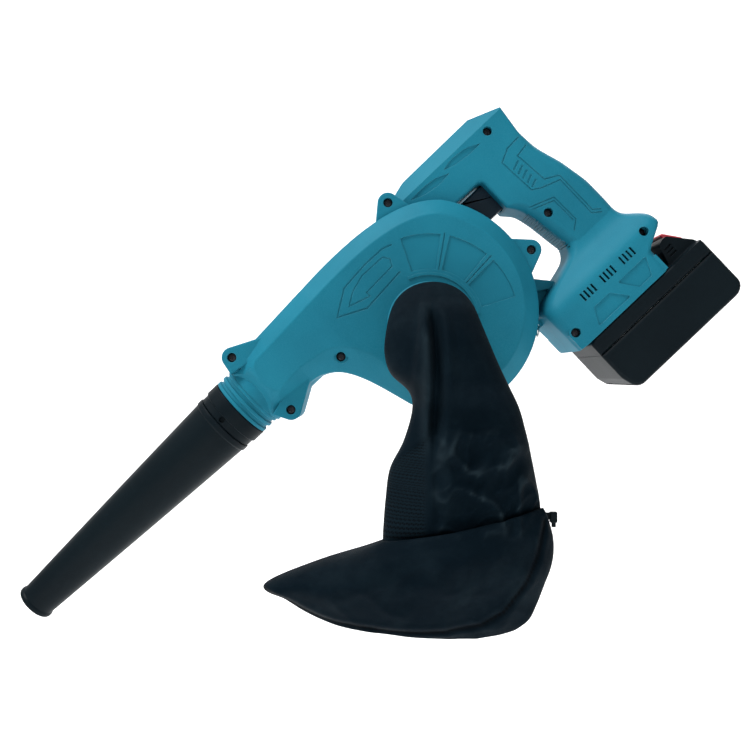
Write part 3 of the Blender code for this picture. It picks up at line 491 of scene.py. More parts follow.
class Signal:
    """One shader socket that takes part in Python expressions."""

    def __init__(self, graph: Graph, socket: bpy.types.NodeSocket) -> None:
        """Keep the socket and the graph that it belongs to."""
        self.graph = graph
        self.socket = socket

    def __add__(self, other: Value) -> Signal:
        """Sum."""
        return self.graph.math("ADD", self, other)

    __radd__ = __add__

    def __sub__(self, other: Value) -> Signal:
        """Difference."""
        return self.graph.math("SUBTRACT", self, other)

    def __rsub__(self, other: Value) -> Signal:
        """Difference from a number."""
        return self.graph.math("SUBTRACT", other, self)

    def __mul__(self, other: Value) -> Signal:
        """Product."""
        return self.graph.math("MULTIPLY", self, other)

    __rmul__ = __mul__


Value = Signal | float


class Graph:
    """A material's node tree, built from expressions."""

    def __init__(self, name: str) -> None:
        """Start an empty material."""
        self.material = bpy.data.materials.new(name)
        self.material.use_nodes = True
        self.tree = self.material.node_tree
        self.tree.nodes.clear()

    def node(self, kind: str, settings: dict | None = None, sockets: dict | None = None,
             output: int | str = 0) -> Signal:
        """Add any node.

        Args:
            kind: Blender's node type.
            settings: Attributes set before the sockets.
            sockets: Values or signals for the inputs, by name or number.
            output: The output that the expression goes on from.

        Returns:
            That output as a signal, or the first input of a node without outputs.
        """
        made = self.tree.nodes.new(kind)
        for key, value in (settings or {}).items():
            setattr(made, key, value)
        for key, value in (sockets or {}).items():
            if isinstance(value, Signal):
                self.tree.links.new(value.socket, made.inputs[key])
            elif isinstance(value, tuple) and made.inputs[key].type == "RGBA":
                made.inputs[key].default_value = (*value, 1)
            else:
                made.inputs[key].default_value = value
        return Signal(self, made.outputs[output]) if made.outputs else Signal(self, made.inputs[0])

    def math(self, operation: str, *values: Value) -> Signal:
        """Math node on numbers or signals."""
        return self.node("ShaderNodeMath", {"operation": operation}, dict(enumerate(values)))

    def smooth(self, value: Value, low: float, high: float) -> Signal:
        """Smooth step from 0 at low to 1 at high."""
        return self.node("ShaderNodeMapRange", {"interpolation_type": "SMOOTHSTEP"},
                         {"Value": value, "From Min": low, "From Max": high})

    def mix(self, share: Value, first: Signal | tuple, second: Signal | tuple) -> Signal:
        """Mix of two colours."""
        factor, colour_a, colour_b, colour_result = 0, 6, 7, 2
        return self.node("ShaderNodeMix", {"data_type": "RGBA"},
                         {factor: share, colour_a: first, colour_b: second}, colour_result)

    def place(self) -> Signal:
        """Object coordinates, in metres."""
        return self.node("ShaderNodeTexCoord", None, None, "Object")

    def noise(self, vector: Signal, scale: float, detail: float = 2.0,
              roughness: float = 0.5) -> Signal:
        """Noise from 0 to 1."""
        return self.node("ShaderNodeTexNoise", None,
                         {"Vector": vector, "Scale": scale, "Detail": detail, "Roughness": roughness})

    def stretched(self, vector: Signal, scale: tuple) -> Signal:
        """Vector scaled along each axis."""
        return self.node("ShaderNodeMapping", None, {"Vector": vector, "Scale": scale})

    def bump(self, height: Signal, distance: float, strength: float,
             normal: Signal | None = None) -> Signal:
        """Normal bumped by a height, on top of another normal where one is given."""
        sockets = {"Height": height, "Distance": distance, "Strength": strength}
        if normal:
            sockets["Normal"] = normal
        return self.node("ShaderNodeBump", None, sockets)

    def worn(self, radius: float) -> tuple[Signal, Signal]:
        """Edge-rounded normal, and a mask that is 1 on edges."""
        soft = self.node("ShaderNodeBevel", {"samples": 4}, {"Radius": radius})
        true = self.node("ShaderNodeNewGeometry", None, None, "Normal")
        match = self.node("ShaderNodeVectorMath", {"operation": "DOT_PRODUCT"},
                          {0: soft, 1: true}, "Value")
        return soft, self.smooth(1 - match, 0.015, 0.16)

    def surface(self, **sockets: Signal | float | tuple) -> bpy.types.Material:
        """Finish with a Principled shader; names use underscores for spaces."""
        fitted = {key.replace("_", " "): value for key, value in sockets.items()}
        shader = self.node("ShaderNodeBsdfPrincipled", None, fitted)
        self.node("ShaderNodeOutputMaterial", None, {"Surface": shader})
        return self.material


Colour = tuple[float, float, float]


@dataclass(frozen=True)
class MouldedPlastic:
    """Injection-moulded plastic: fine texture, flow variation, rubbed edges."""

    name: str
    colour: Colour
    deep: Colour
    rubbed: Colour
    roughness: float = 0.45
    grain: float = 0.55 * MM
    grain_height: float = 0.03 * MM
    edge: float = 0.5 * MM
    specular: float = 0.5

    def material(self) -> bpy.types.Material:
        """Build the material."""
        graph = Graph(self.name)
        place = graph.place()
        cloudy = graph.noise(place, 16.0, 3.0)
        fine = graph.noise(place, 1 / self.grain, 3.0, 0.6)
        soft, edges = graph.worn(self.edge)
        patchy = graph.smooth(graph.noise(place, 90.0, 4.0), 0.42, 0.62)
        colour = graph.mix(graph.smooth(cloudy, 0.25, 0.75), self.colour, self.deep)
        colour = graph.mix(graph.smooth(fine, 0.3, 0.75) * 0.12, colour, self.rubbed)
        colour = graph.mix(edges * (0.25 + 0.45 * patchy), colour, self.rubbed)
        rough = self.roughness + (cloudy - 0.5) * 0.12 + (fine - 0.5) * 0.16 - edges * 0.08
        normal = graph.bump(fine, self.grain_height, 0.55, soft)
        return graph.surface(Base_Color=colour, Roughness=rough, Normal=normal,
                             Specular_IOR_Level=self.specular)


@dataclass(frozen=True)
class Metal:
    """Metal with fine drawn or turned marks."""

    name: str
    colour: Colour
    dull: Colour
    roughness: float = 0.32
    stretch: tuple[float, float, float] = (1.0, 12.0, 1.0)

    def material(self) -> bpy.types.Material:
        """Build the material."""
        graph = Graph(self.name)
        place = graph.place()
        marks = graph.noise(graph.stretched(place, self.stretch), 900.0, 4.0, 0.6)
        stains = graph.smooth(graph.noise(place, 220.0, 3.0), 0.45, 0.7)
        soft, edges = graph.worn(0.25 * MM)
        colour = graph.mix(stains * 0.6, self.colour, self.dull)
        colour = graph.mix(edges * 0.5, colour, self.colour)
        rough = self.roughness + (marks - 0.5) * 0.25 + stains * 0.12
        return graph.surface(Base_Color=colour, Roughness=rough, Metallic=1.0,
                             Normal=graph.bump(marks, 0.02 * MM, 0.4, soft))


@dataclass(frozen=True)
class Wrap:
    """Thin shrunk film or wire insulation, smooth and slightly glossy."""

    name: str
    colour: Colour
    shade: Colour
    roughness: float = 0.3

    def material(self) -> bpy.types.Material:
        """Build the material."""
        graph = Graph(self.name)
        place = graph.place()
        ripple = graph.noise(graph.stretched(place, (1.0, 0.25, 1.0)), 420.0, 3.0)
        colour = graph.mix(graph.smooth(ripple, 0.3, 0.8), self.colour, self.shade)
        return graph.surface(Base_Color=colour, Roughness=self.roughness + (ripple - 0.5) * 0.2,
                             Coat_Weight=0.3, Normal=graph.bump(ripple, 0.08 * MM, 0.4))


@dataclass(frozen=True)
class Cloth:
    """Close-woven nylon, with an open net where the piece's net attribute says so."""

    name: str
    colour: Colour
    faded: Colour
    thread: float = 0.55 * MM
    # Paler colour painted on crease crests as a painted sheen, standing in for light caught on the folds
    painted_crest_sheen: Colour = (0.020, 0.034, 0.043)
    hole: Colour = (0.0015, 0.002, 0.003)
    seam_thread: Colour = (0.0012, 0.0018, 0.0025)
    net_pitch: float = 3.0 * MM
    stitch_pitch: float = 3.2 * MM

    def material(self) -> bpy.types.Material:
        """Build the material on the piece's own UV map, which is in metres."""
        graph = Graph(self.name)
        flat = graph.node("ShaderNodeUVMap", {"uv_map": "cut"})
        across = graph.node("ShaderNodeSeparateXYZ", None, {"Vector": flat}, "X")
        down = Signal(graph, across.socket.node.outputs["Y"])
        turn = 2 * math.pi / self.thread
        warp = graph.math("SINE", across * turn)
        weft = graph.math("SINE", down * turn)
        weave = warp * weft
        net = graph.node("ShaderNodeAttribute", {"attribute_name": "net"}, None, "Fac")
        net_turn = 2 * math.pi / self.net_pitch
        columns = graph.math("SINE", across * net_turn)
        rows = graph.math("SINE", down * (net_turn * 1.4) + columns * 1.2)
        holes = graph.smooth(columns * rows, -0.1, 0.75) * net
        seam = graph.node("ShaderNodeAttribute", {"attribute_name": "seam"}, None, "Fac")
        place = graph.place()
        worn = graph.smooth(graph.noise(place, 34.0, 5.0, 0.65), 0.42, 0.72)
        fluff = graph.noise(place, 1500.0, 2.0)
        colour = graph.mix(worn * 0.55, self.colour, self.faded)
        colour = graph.mix(graph.smooth(weave, -0.8, 0.9) * 0.35, colour, self.faded)
        colour = graph.mix(net * (1 - holes) * 0.8, colour, self.faded)
        # Painted sheen: crease crests and a pleat ridge are mixed towards a paler colour, more so where the
        # wear noise is high
        painted_crest_sheen = graph.node("ShaderNodeAttribute", {"attribute_name": "painted_crest_sheen"}, None, "Fac")
        colour = graph.mix(painted_crest_sheen * (0.55 + 0.45 * worn), colour, self.painted_crest_sheen)
        colour = graph.mix(holes, colour, self.hole)
        stitch_turn = 2 * math.pi / self.stitch_pitch
        stitches = graph.smooth(graph.math("SINE", (across + down) * stitch_turn), -0.2, 0.5)
        colour = graph.mix(seam * (0.9 - stitches * 0.3), colour, self.seam_thread)
        rough = 0.72 + (fluff - 0.5) * 0.2 - worn * 0.08 + holes * 0.2
        height = weave * 0.35 + fluff * 0.4 - holes * 3.0 - seam * (3.0 - stitches)
        return graph.surface(Base_Color=colour, Roughness=rough, Sheen_Weight=0.01, Sheen_Roughness=0.4,
                             Specular_IOR_Level=0.03, Normal=graph.bump(height, 0.12 * MM, 0.55))


class Finish(Enum):
    """The finishes of the blower's pieces."""

    TEAL = MouldedPlastic("teal_moulding", (0.008, 0.178, 0.262), (0.005, 0.140, 0.212),
                          (0.075, 0.335, 0.430), 0.56, specular=0.10)
    BLACK = MouldedPlastic("black_moulding", (0.0030, 0.0075, 0.0105), (0.0018, 0.0052, 0.0078),
                           (0.016, 0.026, 0.032), 0.46, specular=0.07)
    TRIGGER = MouldedPlastic("trigger_moulding", (0.004, 0.016, 0.028), (0.003, 0.012, 0.021),
                             (0.022, 0.045, 0.060), 0.5, specular=0.18)
    GREY = MouldedPlastic("grey_moulding", (0.09, 0.095, 0.10), (0.06, 0.065, 0.07),
                          (0.22, 0.22, 0.22), 0.5)
    RED = MouldedPlastic("red_moulding", (0.62, 0.02, 0.045), (0.42, 0.012, 0.03),
                         (0.85, 0.16, 0.18), 0.38)
    BLACK_STEEL = Metal("blackened_steel", (0.035, 0.037, 0.042), (0.012, 0.013, 0.015), 0.38)
    BRIGHT_STEEL = Metal("bright_steel", (0.62, 0.62, 0.60), (0.36, 0.36, 0.35), 0.26)
    BRONZE = Metal("sintered_bronze", (0.50, 0.30, 0.12), (0.28, 0.17, 0.07), 0.42)
    MAGNET = Metal("ferrite", (0.05, 0.05, 0.052), (0.03, 0.03, 0.03), 0.6)
    COPPER = Metal("wound_copper", (0.70, 0.30, 0.14), (0.38, 0.15, 0.07), 0.3, (1.0, 30.0, 1.0))
    CELL = Wrap("cell_film", (0.06, 0.30, 0.16), (0.03, 0.20, 0.11))
    RED_WIRE = Wrap("red_insulation", (0.45, 0.02, 0.02), (0.30, 0.012, 0.012), 0.4)
    BLACK_WIRE = Wrap("black_insulation", (0.012, 0.012, 0.013), (0.02, 0.02, 0.022), 0.42)
    NYLON_BAND = MouldedPlastic("cuff_band", (0.003, 0.007, 0.010), (0.002, 0.005, 0.008),
                                (0.015, 0.022, 0.027), 0.75, 0.9 * MM, 0.12 * MM, specular=0.12)
    NYLON = Cloth("bag_nylon", (0.0008, 0.0042, 0.0078), (0.0048, 0.0120, 0.0175))


class Paintbox:
    """Builds each finish once and puts it on pieces."""

    def __init__(self) -> None:
        """Start with nothing mixed."""
        self.mixed: dict[Finish, bpy.types.Material] = {}

    def material(self, finish: Finish) -> bpy.types.Material:
        """The material of a finish."""
        if finish not in self.mixed:
            self.mixed[finish] = finish.value.material()
        return self.mixed[finish]

    def paint(self, piece: bpy.types.Object, finish: Finish) -> bpy.types.Object:
        """Give a new piece its finish alone."""
        piece.data.materials.clear()
        piece.data.materials.append(self.material(finish))
        return piece

    def repaint(self, node: bpy.types.Object, finish: Finish) -> None:
        """Give a carried-over node its finish through its own slots."""
        if not node.material_slots:
            node.data.materials.append(None)
        for slot in node.material_slots:
            slot.material = self.material(finish)


# ---------------------------------------------------------------- the frame's own places

@dataclass(frozen=True)
class Carriage:
    """Where the level frame of the tool lies in the world."""

    fan: Vector
    tilt: float

    @classmethod
    def from_joints(cls, joints: list[dict]) -> Carriage:
        """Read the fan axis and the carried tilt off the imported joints."""
        by_name = {joint["name"]: joint for joint in joints}
        along = Vector(by_name["battery_slide"]["axis"])
        low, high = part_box("motor_shaft")
        middle = (low + high) / 2
        return cls(Vector((middle.x, 0, middle.z)), math.atan2(along.z, along.x))

    def matrix(self) -> Matrix:
        """From the level frame into the world."""
        return Matrix.Translation(self.fan) @ Matrix.Rotation(-self.tilt, 4, "Y")

    def settle(self, piece: bpy.types.Object) -> bpy.types.Object:
        """Lay a level piece into the world, in its mesh."""
        piece.data.transform(self.matrix())
        piece.data.update()
        return piece


@dataclass
class Workshop:
    """What every sub-assembly needs to finish its pieces."""

    carriage: Carriage
    paints: Paintbox

    def deliver(self, piece: bpy.types.Object, body: str, nodes: Sequence[str], slot: str,
                finish: Finish) -> bpy.types.Object:
        """Smooth, settle, paint and register one level piece.

        Args:
            piece: The finished mesh in the level frame.
            body: Body that it rides on.
            nodes: CAD nodes that it stands for.
            slot: The record's material slot; not used.
            finish: Its finish.

        Returns:
            The piece.
        """
        finish_surface(piece)
        self.carriage.settle(piece)
        return self.register(piece, body, nodes, slot, finish)

    def register(self, piece: bpy.types.Object, body: str, nodes: Sequence[str], slot: str,
                 finish: Finish) -> bpy.types.Object:
        """Paint a piece that already lies in the world, and tell the frame about it."""
        self.paints.paint(piece, finish)
        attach(piece, body)
        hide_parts(*nodes)
        LOG.info("%s: %d faces, on %s", piece.name, len(piece.data.polygons), body)
        return piece


def quarter_rim(steps: int = 5) -> Rim:
    """Quarter-round rim of unit radius."""
    return [(1 - math.sin(math.pi / 2 * step / steps), 1 - math.cos(math.pi / 2 * step / steps))
            for step in range(steps + 1)]


def chamfer_rim(size: float, inner: float, outer: float, steps: int = 4) -> Rim:
    """Wide flat chamfer whose two edges are rounded, as (inset, depth) pairs."""
    face = corner_arc((size * 2, 0), (size, 0), (0, size), inner, steps)
    wall = corner_arc((size, 0), (0, size), (0, size * 2), outer, steps)
    return face + wall


# ---------------------------------------------------------------- casing

@dataclass(frozen=True)
class Post:
    """Screw post: its axis in millimetres, and the Y of its near and far ends."""

    name: str
    x: float
    z: float
    near: float
    far: float

    @property
    def seat(self) -> float:
        """Y of the face that the screw's head sits on."""
        return self.near + HEAD_DEPTH

    @property
    def thread_end(self) -> float:
        """Y that the screw's thread stays short of."""
        return min(self.far, THREAD_LIMIT)


@dataclass(frozen=True)
class Ear:
    """Screw ear outside the shell, drawn as a hull from its screw to its feet."""

    name: str
    x: float
    z: float
    feet: tuple[Flat, ...]


@dataclass
class Casing:
    """Teal clamshell: fan housing, outlet duct, arm, grip and battery base."""

    shop: Workshop
    wall: float = 2.5 * MM
    near_face: float = -42 * MM
    far_face: float = 24 * MM
    chamfer: float = 12 * MM
    scroll_start: float = math.radians(213)
    scroll_sweep: float = math.radians(188)
    scroll_radius: float = 58 * MM
    scroll_growth: float = 31.5 * MM
    scroll_ease: float = 1.3
    duct_z: float = 51.5 * MM
    duct_radius: float = 25.2 * MM
    duct_end: float = -128 * MM
    collar_radius: float = 24.6 * MM
    collar_length: float = 14 * MM
    spigot_radius: float = 21.5 * MM
    spigot_length: float = 7.5 * MM
    spigot_wall: float = 2 * MM
    inlet_radius: float = 22.8 * MM
    taper_start: float = -52 * MM
    taper_slope: float = 0.176
    grip_half: float = 18.5 * MM
    base_half: float = 37 * MM
    base_bottom: float = -88 * MM
    split: float = 0.15 * MM
    head_hole: float = 3.4 * MM
    thread_hole: float = 1.9 * MM
    post_radius: float = 5 * MM
    ear_radius: float = 7.5 * MM
    ear_near: float = -26 * MM
    ear_far: float = THREAD_LIMIT
    ears: tuple[Ear, ...] = (
        Ear("duct_top", -118.5, 80, ((-127.5, 72), (-91, 75), (-105, 68))),
        Ear("duct_bottom", -113.5, 23.5, ((-125.5, 30), (-86, 31), (-105, 36))),
        Ear("volute_top", 39.5, 83.5, ((23, 79), (50, 70), (33, 66))),
        Ear("volute_rear", 91, -12, ((84, 6), (79, -25), (70, -8))),
    )
    posts: tuple[Post, ...] = (
        Post("arch", -61, 26, -36.5 * MM, 18.5 * MM),
        Post("arm_rear", 129, 72.5, -17 * MM, 17 * MM),
        Post("grip", 120.5, -1, -17 * MM, 17 * MM),
        Post("base_rear", 155, -57, -31 * MM, 31 * MM),
        Post("base_front", 71, -76, -35.5 * MM, 35.5 * MM),
    )
    vent_start: float = 91
    vent_group: float = 18.8
    vent_pitch: float = 3.4
    vent_width: float = 1.5
    serration: float = 2.1
    rear_serrations: int = 41
    front_serrations: int = 20
    clear_of_all: tuple[float, float, float] = (200 * MM, 100 * MM, 120 * MM)

    def screws(self) -> list[Post]:
        """Every screw's place, on the ears and then in the posts."""
        ears = [Post(ear.name, ear.x, ear.z, self.ear_near, self.ear_far) for ear in self.ears]
        return [*ears, *self.posts]

    def scroll_point(self, share: float) -> Flat:
        """Point of the scroll, for a share of its sweep from the tongue."""
        angle = self.scroll_start + self.scroll_sweep * share
        radius = self.scroll_radius + self.scroll_growth * (1 - (1 - share) ** self.scroll_ease)
        return radius * math.cos(angle), radius * math.sin(angle)

    def volute_outline(self, steps: int) -> list[Flat]:
        """Scroll, top line, duct end, underside and the arch back to the tongue."""
        scroll = [self.scroll_point(step / steps) for step in range(steps + 1)]
        end_x, end_z = scroll[-1]
        top_start = (-48 * MM, 80.5 * MM)
        crown = bezier((end_x, end_z), (end_x - 21 * MM, end_z + 22 * MM),
                       (4 * MM, 84.5 * MM), top_start, steps // 4)
        plate_end = self.duct_end + 0.6 * MM
        reach = self.duct_radius + 0.6 * MM
        arch_start = (-90 * MM, 28.3 * MM)
        arch = bezier(arch_start, (-64 * MM, 27 * MM), (-58 * MM, 0), scroll[0], steps // 3)
        return [*scroll, *crown, top_start, (plate_end, self.duct_z + reach),
                (plate_end, self.duct_z - reach), arch_start, *arch]

    def arch_widening(self, x: float, z: float) -> float:
        """How much wider the rim is round the arch screw than elsewhere."""
        away = (Vector((x, z)) - Vector((-62 * MM, 12 * MM))).length / (20 * MM)
        return 1 + 0.5 * math.exp(-away ** 4)

    def volute(self, name: str, inset: float, steps: int) -> bpy.types.Object:
        """Fan housing with its wide rims, its near side sloping back along the duct."""
        rim = chamfer_rim(self.chamfer - 0.4 * inset, 2.5 * MM, 2.2 * MM)
        full = self.volute_outline(steps)
        outline = shrunk(full, [inset] * len(full))
        piece = slab(name, outline, self.near_face + inset, self.far_face - inset, rim, rim,
                     inset=self.arch_widening)
        with editing(piece):
            bpy.ops.mesh.bisect(plane_co=(self.taper_start, 0, 0), plane_no=(1, 0, 0))
        for vertex in piece.data.vertices:
            if vertex.co.y < -5 * MM and vertex.co.x < self.taper_start:
                vertex.co.y += self.taper_slope * (self.taper_start - vertex.co.x)
        relief = block(name + "_relief", (68 * MM - inset, 100 * MM), (-9 * MM - inset, 60 * MM),
                       (4 * MM - inset, 60 * MM))
        return cut(piece, relief)

    def duct_end_form(self) -> bpy.types.Object:
        """Turned form that rounds the last of the duct into the collar."""
        far = 260 * MM
        profile = [(0.0, self.duct_end - 1 * MM)]
        for back, out in ((-1, 25.6), (3, 26.6), (8, 28.4), (14, 31.2), (21, 35.5), (29, 41.5), (36, 48)):
            profile.append((out * MM, self.duct_end + back * MM))
        profile += [(far, self.duct_end + 37 * MM), (far, 200 * MM), (0.0, 200 * MM)]
        return spun("duct_end_form", profile, (0, 0, self.duct_z), "X")

    def collar(self) -> bpy.types.Object:
        """Ribbed collar with two grooves, then the spigot for the nozzle sleeve."""
        rib = self.collar_length / 5
        low = self.collar_radius - 1.6 * MM
        soft = 0.45 * MM
        root = -62 * MM
        profile = [(0.0, root), (self.duct_radius, root), (self.duct_radius, self.duct_end)]
        place = self.duct_end
        profile.append((self.collar_radius - soft, place))
        for _groove in range(2):
            profile += [(self.collar_radius, place - soft), (self.collar_radius, place - rib + soft),
                        (self.collar_radius - soft, place - rib), (low, place - rib - soft / 2),
                        (low, place - 2 * rib + soft / 2), (self.collar_radius - soft, place - 2 * rib)]
            place -= 2 * rib
        end = self.duct_end - self.collar_length
        profile += [(self.collar_radius, place - soft), (self.collar_radius, end + soft),
                    (self.collar_radius - soft, end), (self.spigot_radius, end),
                    (self.spigot_radius, end - self.spigot_length), (0.0, end - self.spigot_length)]
        return spun("collar_form", profile, (0, 0, self.duct_z), "X")

    def grip_outline(self, inset: float) -> list[Flat]:
        """Arm over the trigger and the hand grip, down into the base."""
        steps = 5 if inset == 0 else 2
        points = rounded([
            (30, 58, 0), (44, 84.5, 10), (60, 89.3, 20), (127, 90, 0), (148, 79, 0), (145.5, 58, 30),
            (148.5, 38.6, 60), (154.5, 19.3, 60), (158.6, -3, 60), (158.8, -24, 60), (157, -60, 0),
            (113, -60, 0), (116.5, -34, 40), (114, -22, 40), (110.8, 0, 40), (107.9, 14, 18),
            (101, 22.5, 0), (101, 50, 4), (64, 50, 0)], steps)
        return shrunk(points, [inset] * len(points))

    @staticmethod
    def grip_edge(x: float, z: float) -> float:
        """Rim radius of the grip: small along the arm, full round the hand."""
        small, full = 1.6 * MM, 7.5 * MM
        below = min(max((66 * MM - z) / (24 * MM), 0), 1)
        behind = min(max((x - 98 * MM) / (14 * MM), 0), 1)
        share = below * behind
        return small + (full - small) * share * share * (3 - 2 * share)

    def grip(self, name: str, inset: float) -> bpy.types.Object:
        """Arm and grip as one moulding, with the arm's long top chamfer."""
        rim = quarter_rim(6 if inset == 0 else 2)
        half = self.grip_half - inset
        piece = slab(name, self.grip_outline(inset), -half, half, rim, rim,
                     inset=self.grip_edge, depth=self.grip_edge)
        for side in (-1, 1):
            low = 78.2 * MM - inset
            reach = 12 * MM
            rings = []
            for x in (20 * MM, 160 * MM):
                rings.append([(x, side * y, z) for y, z in (
                    (half + 1 * MM, low - 1 * MM), (half - reach, low + reach),
                    (half - reach, low + 2 * reach), (half + 1 * MM, low + 2 * reach))])
            cut(piece, lofted(f"arm_chamfer_{side}", rings))
        return piece

    def base(self, name: str, inset: float, levels: int) -> bpy.types.Object:
        """Flared base, skinned over rounded sections from the grip down to the pack."""
        stops = [(-88, 65, 151, 37, 9), (-74, 65, 151, 37, 9), (-70, 64.8, 151.5, 37, 9),
                 (-65, 64.6, 160, 37, 9), (-60, 64.5, 168.5, 37, 9), (-55, 64.7, 169.5, 36.2, 10),
                 (-50, 66.5, 168.6, 32.9, 10), (-45, 77, 165.5, 27.6, 10), (-40, 95, 161, 22.6, 9),
                 (-36, 108, 158.8, 20.2, 8), (-30, 113.5, 158.2, 18.3, 8), (-24, 114.5, 158, 17.5, 8)]
        rings = []
        for level in range(levels + 1):
            z = -88 + 64 * level / levels
            front, rear, half, radius = smooth_value(stops, z)
            gap = inset / MM
            corners = [(front + gap, -half + gap, radius), (rear - gap, -half + gap, radius * 0.8),
                       (rear - gap, half - gap, radius * 0.8), (front + gap, half - gap, radius)]
            rings.append([(x, y, z * MM) for x, y in rounded(corners, 6)])
        return lofted(name, rings)

    def strut(self) -> list[bpy.types.Object]:
        """Flange and web that tie the scroll to the front of the base."""
        flange = rounded([(60, -16, 0), (67, -12, 0), (94, -44.0, 1.5), (91, -47.6, 1), (60, -24, 0)], 3)
        web = rounded([(60, -18, 0), (66, -15, 0), (92, -46, 0), (88, -51, 3), (78, -51.5, 4),
                       (66, -50.5, 2), (60, -45, 0)], 3)
        soft = [(0.7 * MM, 0), (0.2 * MM, 0.2 * MM), (0, 0.7 * MM)]
        return [slab("strut_flange", flange, -10 * MM, 10 * MM, soft, soft),
                slab("strut_web", web, -3.5 * MM, 3.5 * MM)]

    def chamber(self, inset: float) -> bpy.types.Object:
        """Motor chamber behind the fan, a stepped drum with a rounded end."""
        radius, end = 33.5 * MM - inset, 66 * MM - inset
        soft = 3 * MM
        profile = [(0.0, 10 * MM), (radius, 10 * MM), (radius - 1.6 * MM, 40 * MM),
                   *[(radius - 3.5 * MM - soft + soft * math.cos(a), end - soft + soft * math.sin(a))
                     for a in (math.pi / 2 * step / 5 for step in range(6))], (0.0, end)]
        return spun("chamber_form", profile, (0, 0, 0), "Y")

    def channel(self, inset: float) -> bpy.types.Object:
        """Raised run for the motor leads."""
        half = 8 * MM - inset
        piece = block("channel_form", (inset, 100 * MM - inset), (9 * MM + inset, 38 * MM - inset),
                      (-half, half), 0 if inset else 2 * MM, 4)
        piece.data.transform(Matrix.Rotation(-math.radians(45), 4, "Y"))
        return piece

    def ear_solid(self, ear: Ear) -> bpy.types.Object:
        """One screw ear with its web, as a softly rimmed plate."""
        points = circle(ear.x * MM, ear.z * MM, self.ear_radius, 40)
        points += [(x * MM, z * MM) for x, z in ear.feet]
        rim = [(1.2 * MM, 0), (0.6 * MM, 0.15 * MM), (0.15 * MM, 0.6 * MM), (0, 1.2 * MM)]
        return slab("ear_" + ear.name, hull(points), self.ear_near, self.ear_far, rim, rim)

    def outside(self) -> bpy.types.Object:
        """Everything that the casing is outside, as one solid."""
        body = self.volute("casing_form", 0, 72)
        combine(body, "INTERSECT", self.duct_end_form())
        lip_profile = [(29.5, -40), (29.2, -42.9), (28.6, -43.4), (27.0, -43.4), (26.6, -43.1), (26.6, -40)]
        lip = spun("inlet_lip", [(radius * MM, y * MM) for radius, y in lip_profile], (0, 0, 0), "Y")
        rib_near, rib_far = self.near_face - 0.7 * MM, self.near_face + 2 * MM
        rib = self.sector("inlet_rib", 33.6, 35.8, -32, 72, rib_near, rib_far)
        join(body, self.collar(), self.grip("grip_form", 0), self.base("base_form", 0, 36),
             *self.strut(), self.chamber(0), self.channel(0), *map(self.ear_solid, self.ears), lip, rib)
        return body

    def hollow(self, body: bpy.types.Object) -> bpy.types.Object:
        """Empty the casing: air way, motor chamber, grip and base."""
        cut(body, self.volute("air_form", self.wall, 36))
        bore_end = self.duct_end - self.collar_length - self.spigot_length - 5 * MM
        mouth = circle(0, 0, self.spigot_radius - self.spigot_wall, 64)
        bore = lofted("bore_form", [[(x, y, self.duct_z + z) for y, z in mouth]
                                    for x in (-70 * MM, bore_end)])
        inlet = rod("inlet_form", 0, 0, self.inlet_radius, self.near_face - 5 * MM,
                    self.near_face + 4 * MM, 64)
        chamber = self.chamber(self.wall)
        chamber.data.transform(Matrix.Translation((0, 8 * MM, 0)))
        drum = block("chamber_keep", (-60 * MM, 60 * MM), (18 * MM, 63.5 * MM), (-60 * MM, 60 * MM))
        combine(chamber, "INTERSECT", drum)
        handle = join(self.grip("grip_hollow", self.wall), self.base("base_hollow", self.wall, 12))
        cut(handle, self.volute("air_wall", 0, 24))
        channel = cut(self.channel(self.wall), self.volute("air_wall", 0, 24))
        return cut(body, bore, inlet, chamber, handle, channel)

    def fit_for_pack(self, body: bpy.types.Object) -> bpy.types.Object:
        """Floor the base, and cut the pack's rail, the terminal pocket and the trigger's slot."""
        floor = block("base_floor", (66 * MM, 150 * MM), (-36 * MM, 36 * MM),
                      (self.base_bottom + 0.5 * MM, self.base_bottom + 13.5 * MM))
        join(body, floor)
        rail = [(-19.8, -93), (-19.8, -84.8), (-23.3, -84.8), (-23.3, -77.7),
                (23.3, -77.7), (23.3, -84.8), (19.8, -84.8), (19.8, -93)]
        rings = [[(x * MM, y * MM, z * MM) for y, z in rail] for x in (82, 200)]
        cut(body, lofted("rail_form", rings))
        pocket = block("terminal_form", (84 * MM, 96 * MM), (-15 * MM, 15 * MM), (-79 * MM, -60 * MM))
        slot = block("trigger_form", (95 * MM, 108 * MM), (-7.8 * MM, 7.8 * MM), (24 * MM, 49 * MM))
        return cut(body, pocket, slot)

    def sector(self, name: str, inner: float, outer: float, start: float, end: float,
               near: float, far: float) -> bpy.types.Object:
        """Ring sector round the fan axis, radii in millimetres and angles in degrees."""
        steps = max(int(abs(end - start) / 4), 3)
        angles = [math.radians(start + (end - start) * step / steps) for step in range(steps + 1)]
        flat = [(outer * MM * math.cos(a), outer * MM * math.sin(a)) for a in angles]
        flat += [(inner * MM * math.cos(a), inner * MM * math.sin(a)) for a in reversed(angles)]
        return slab(name, flat, near, far)

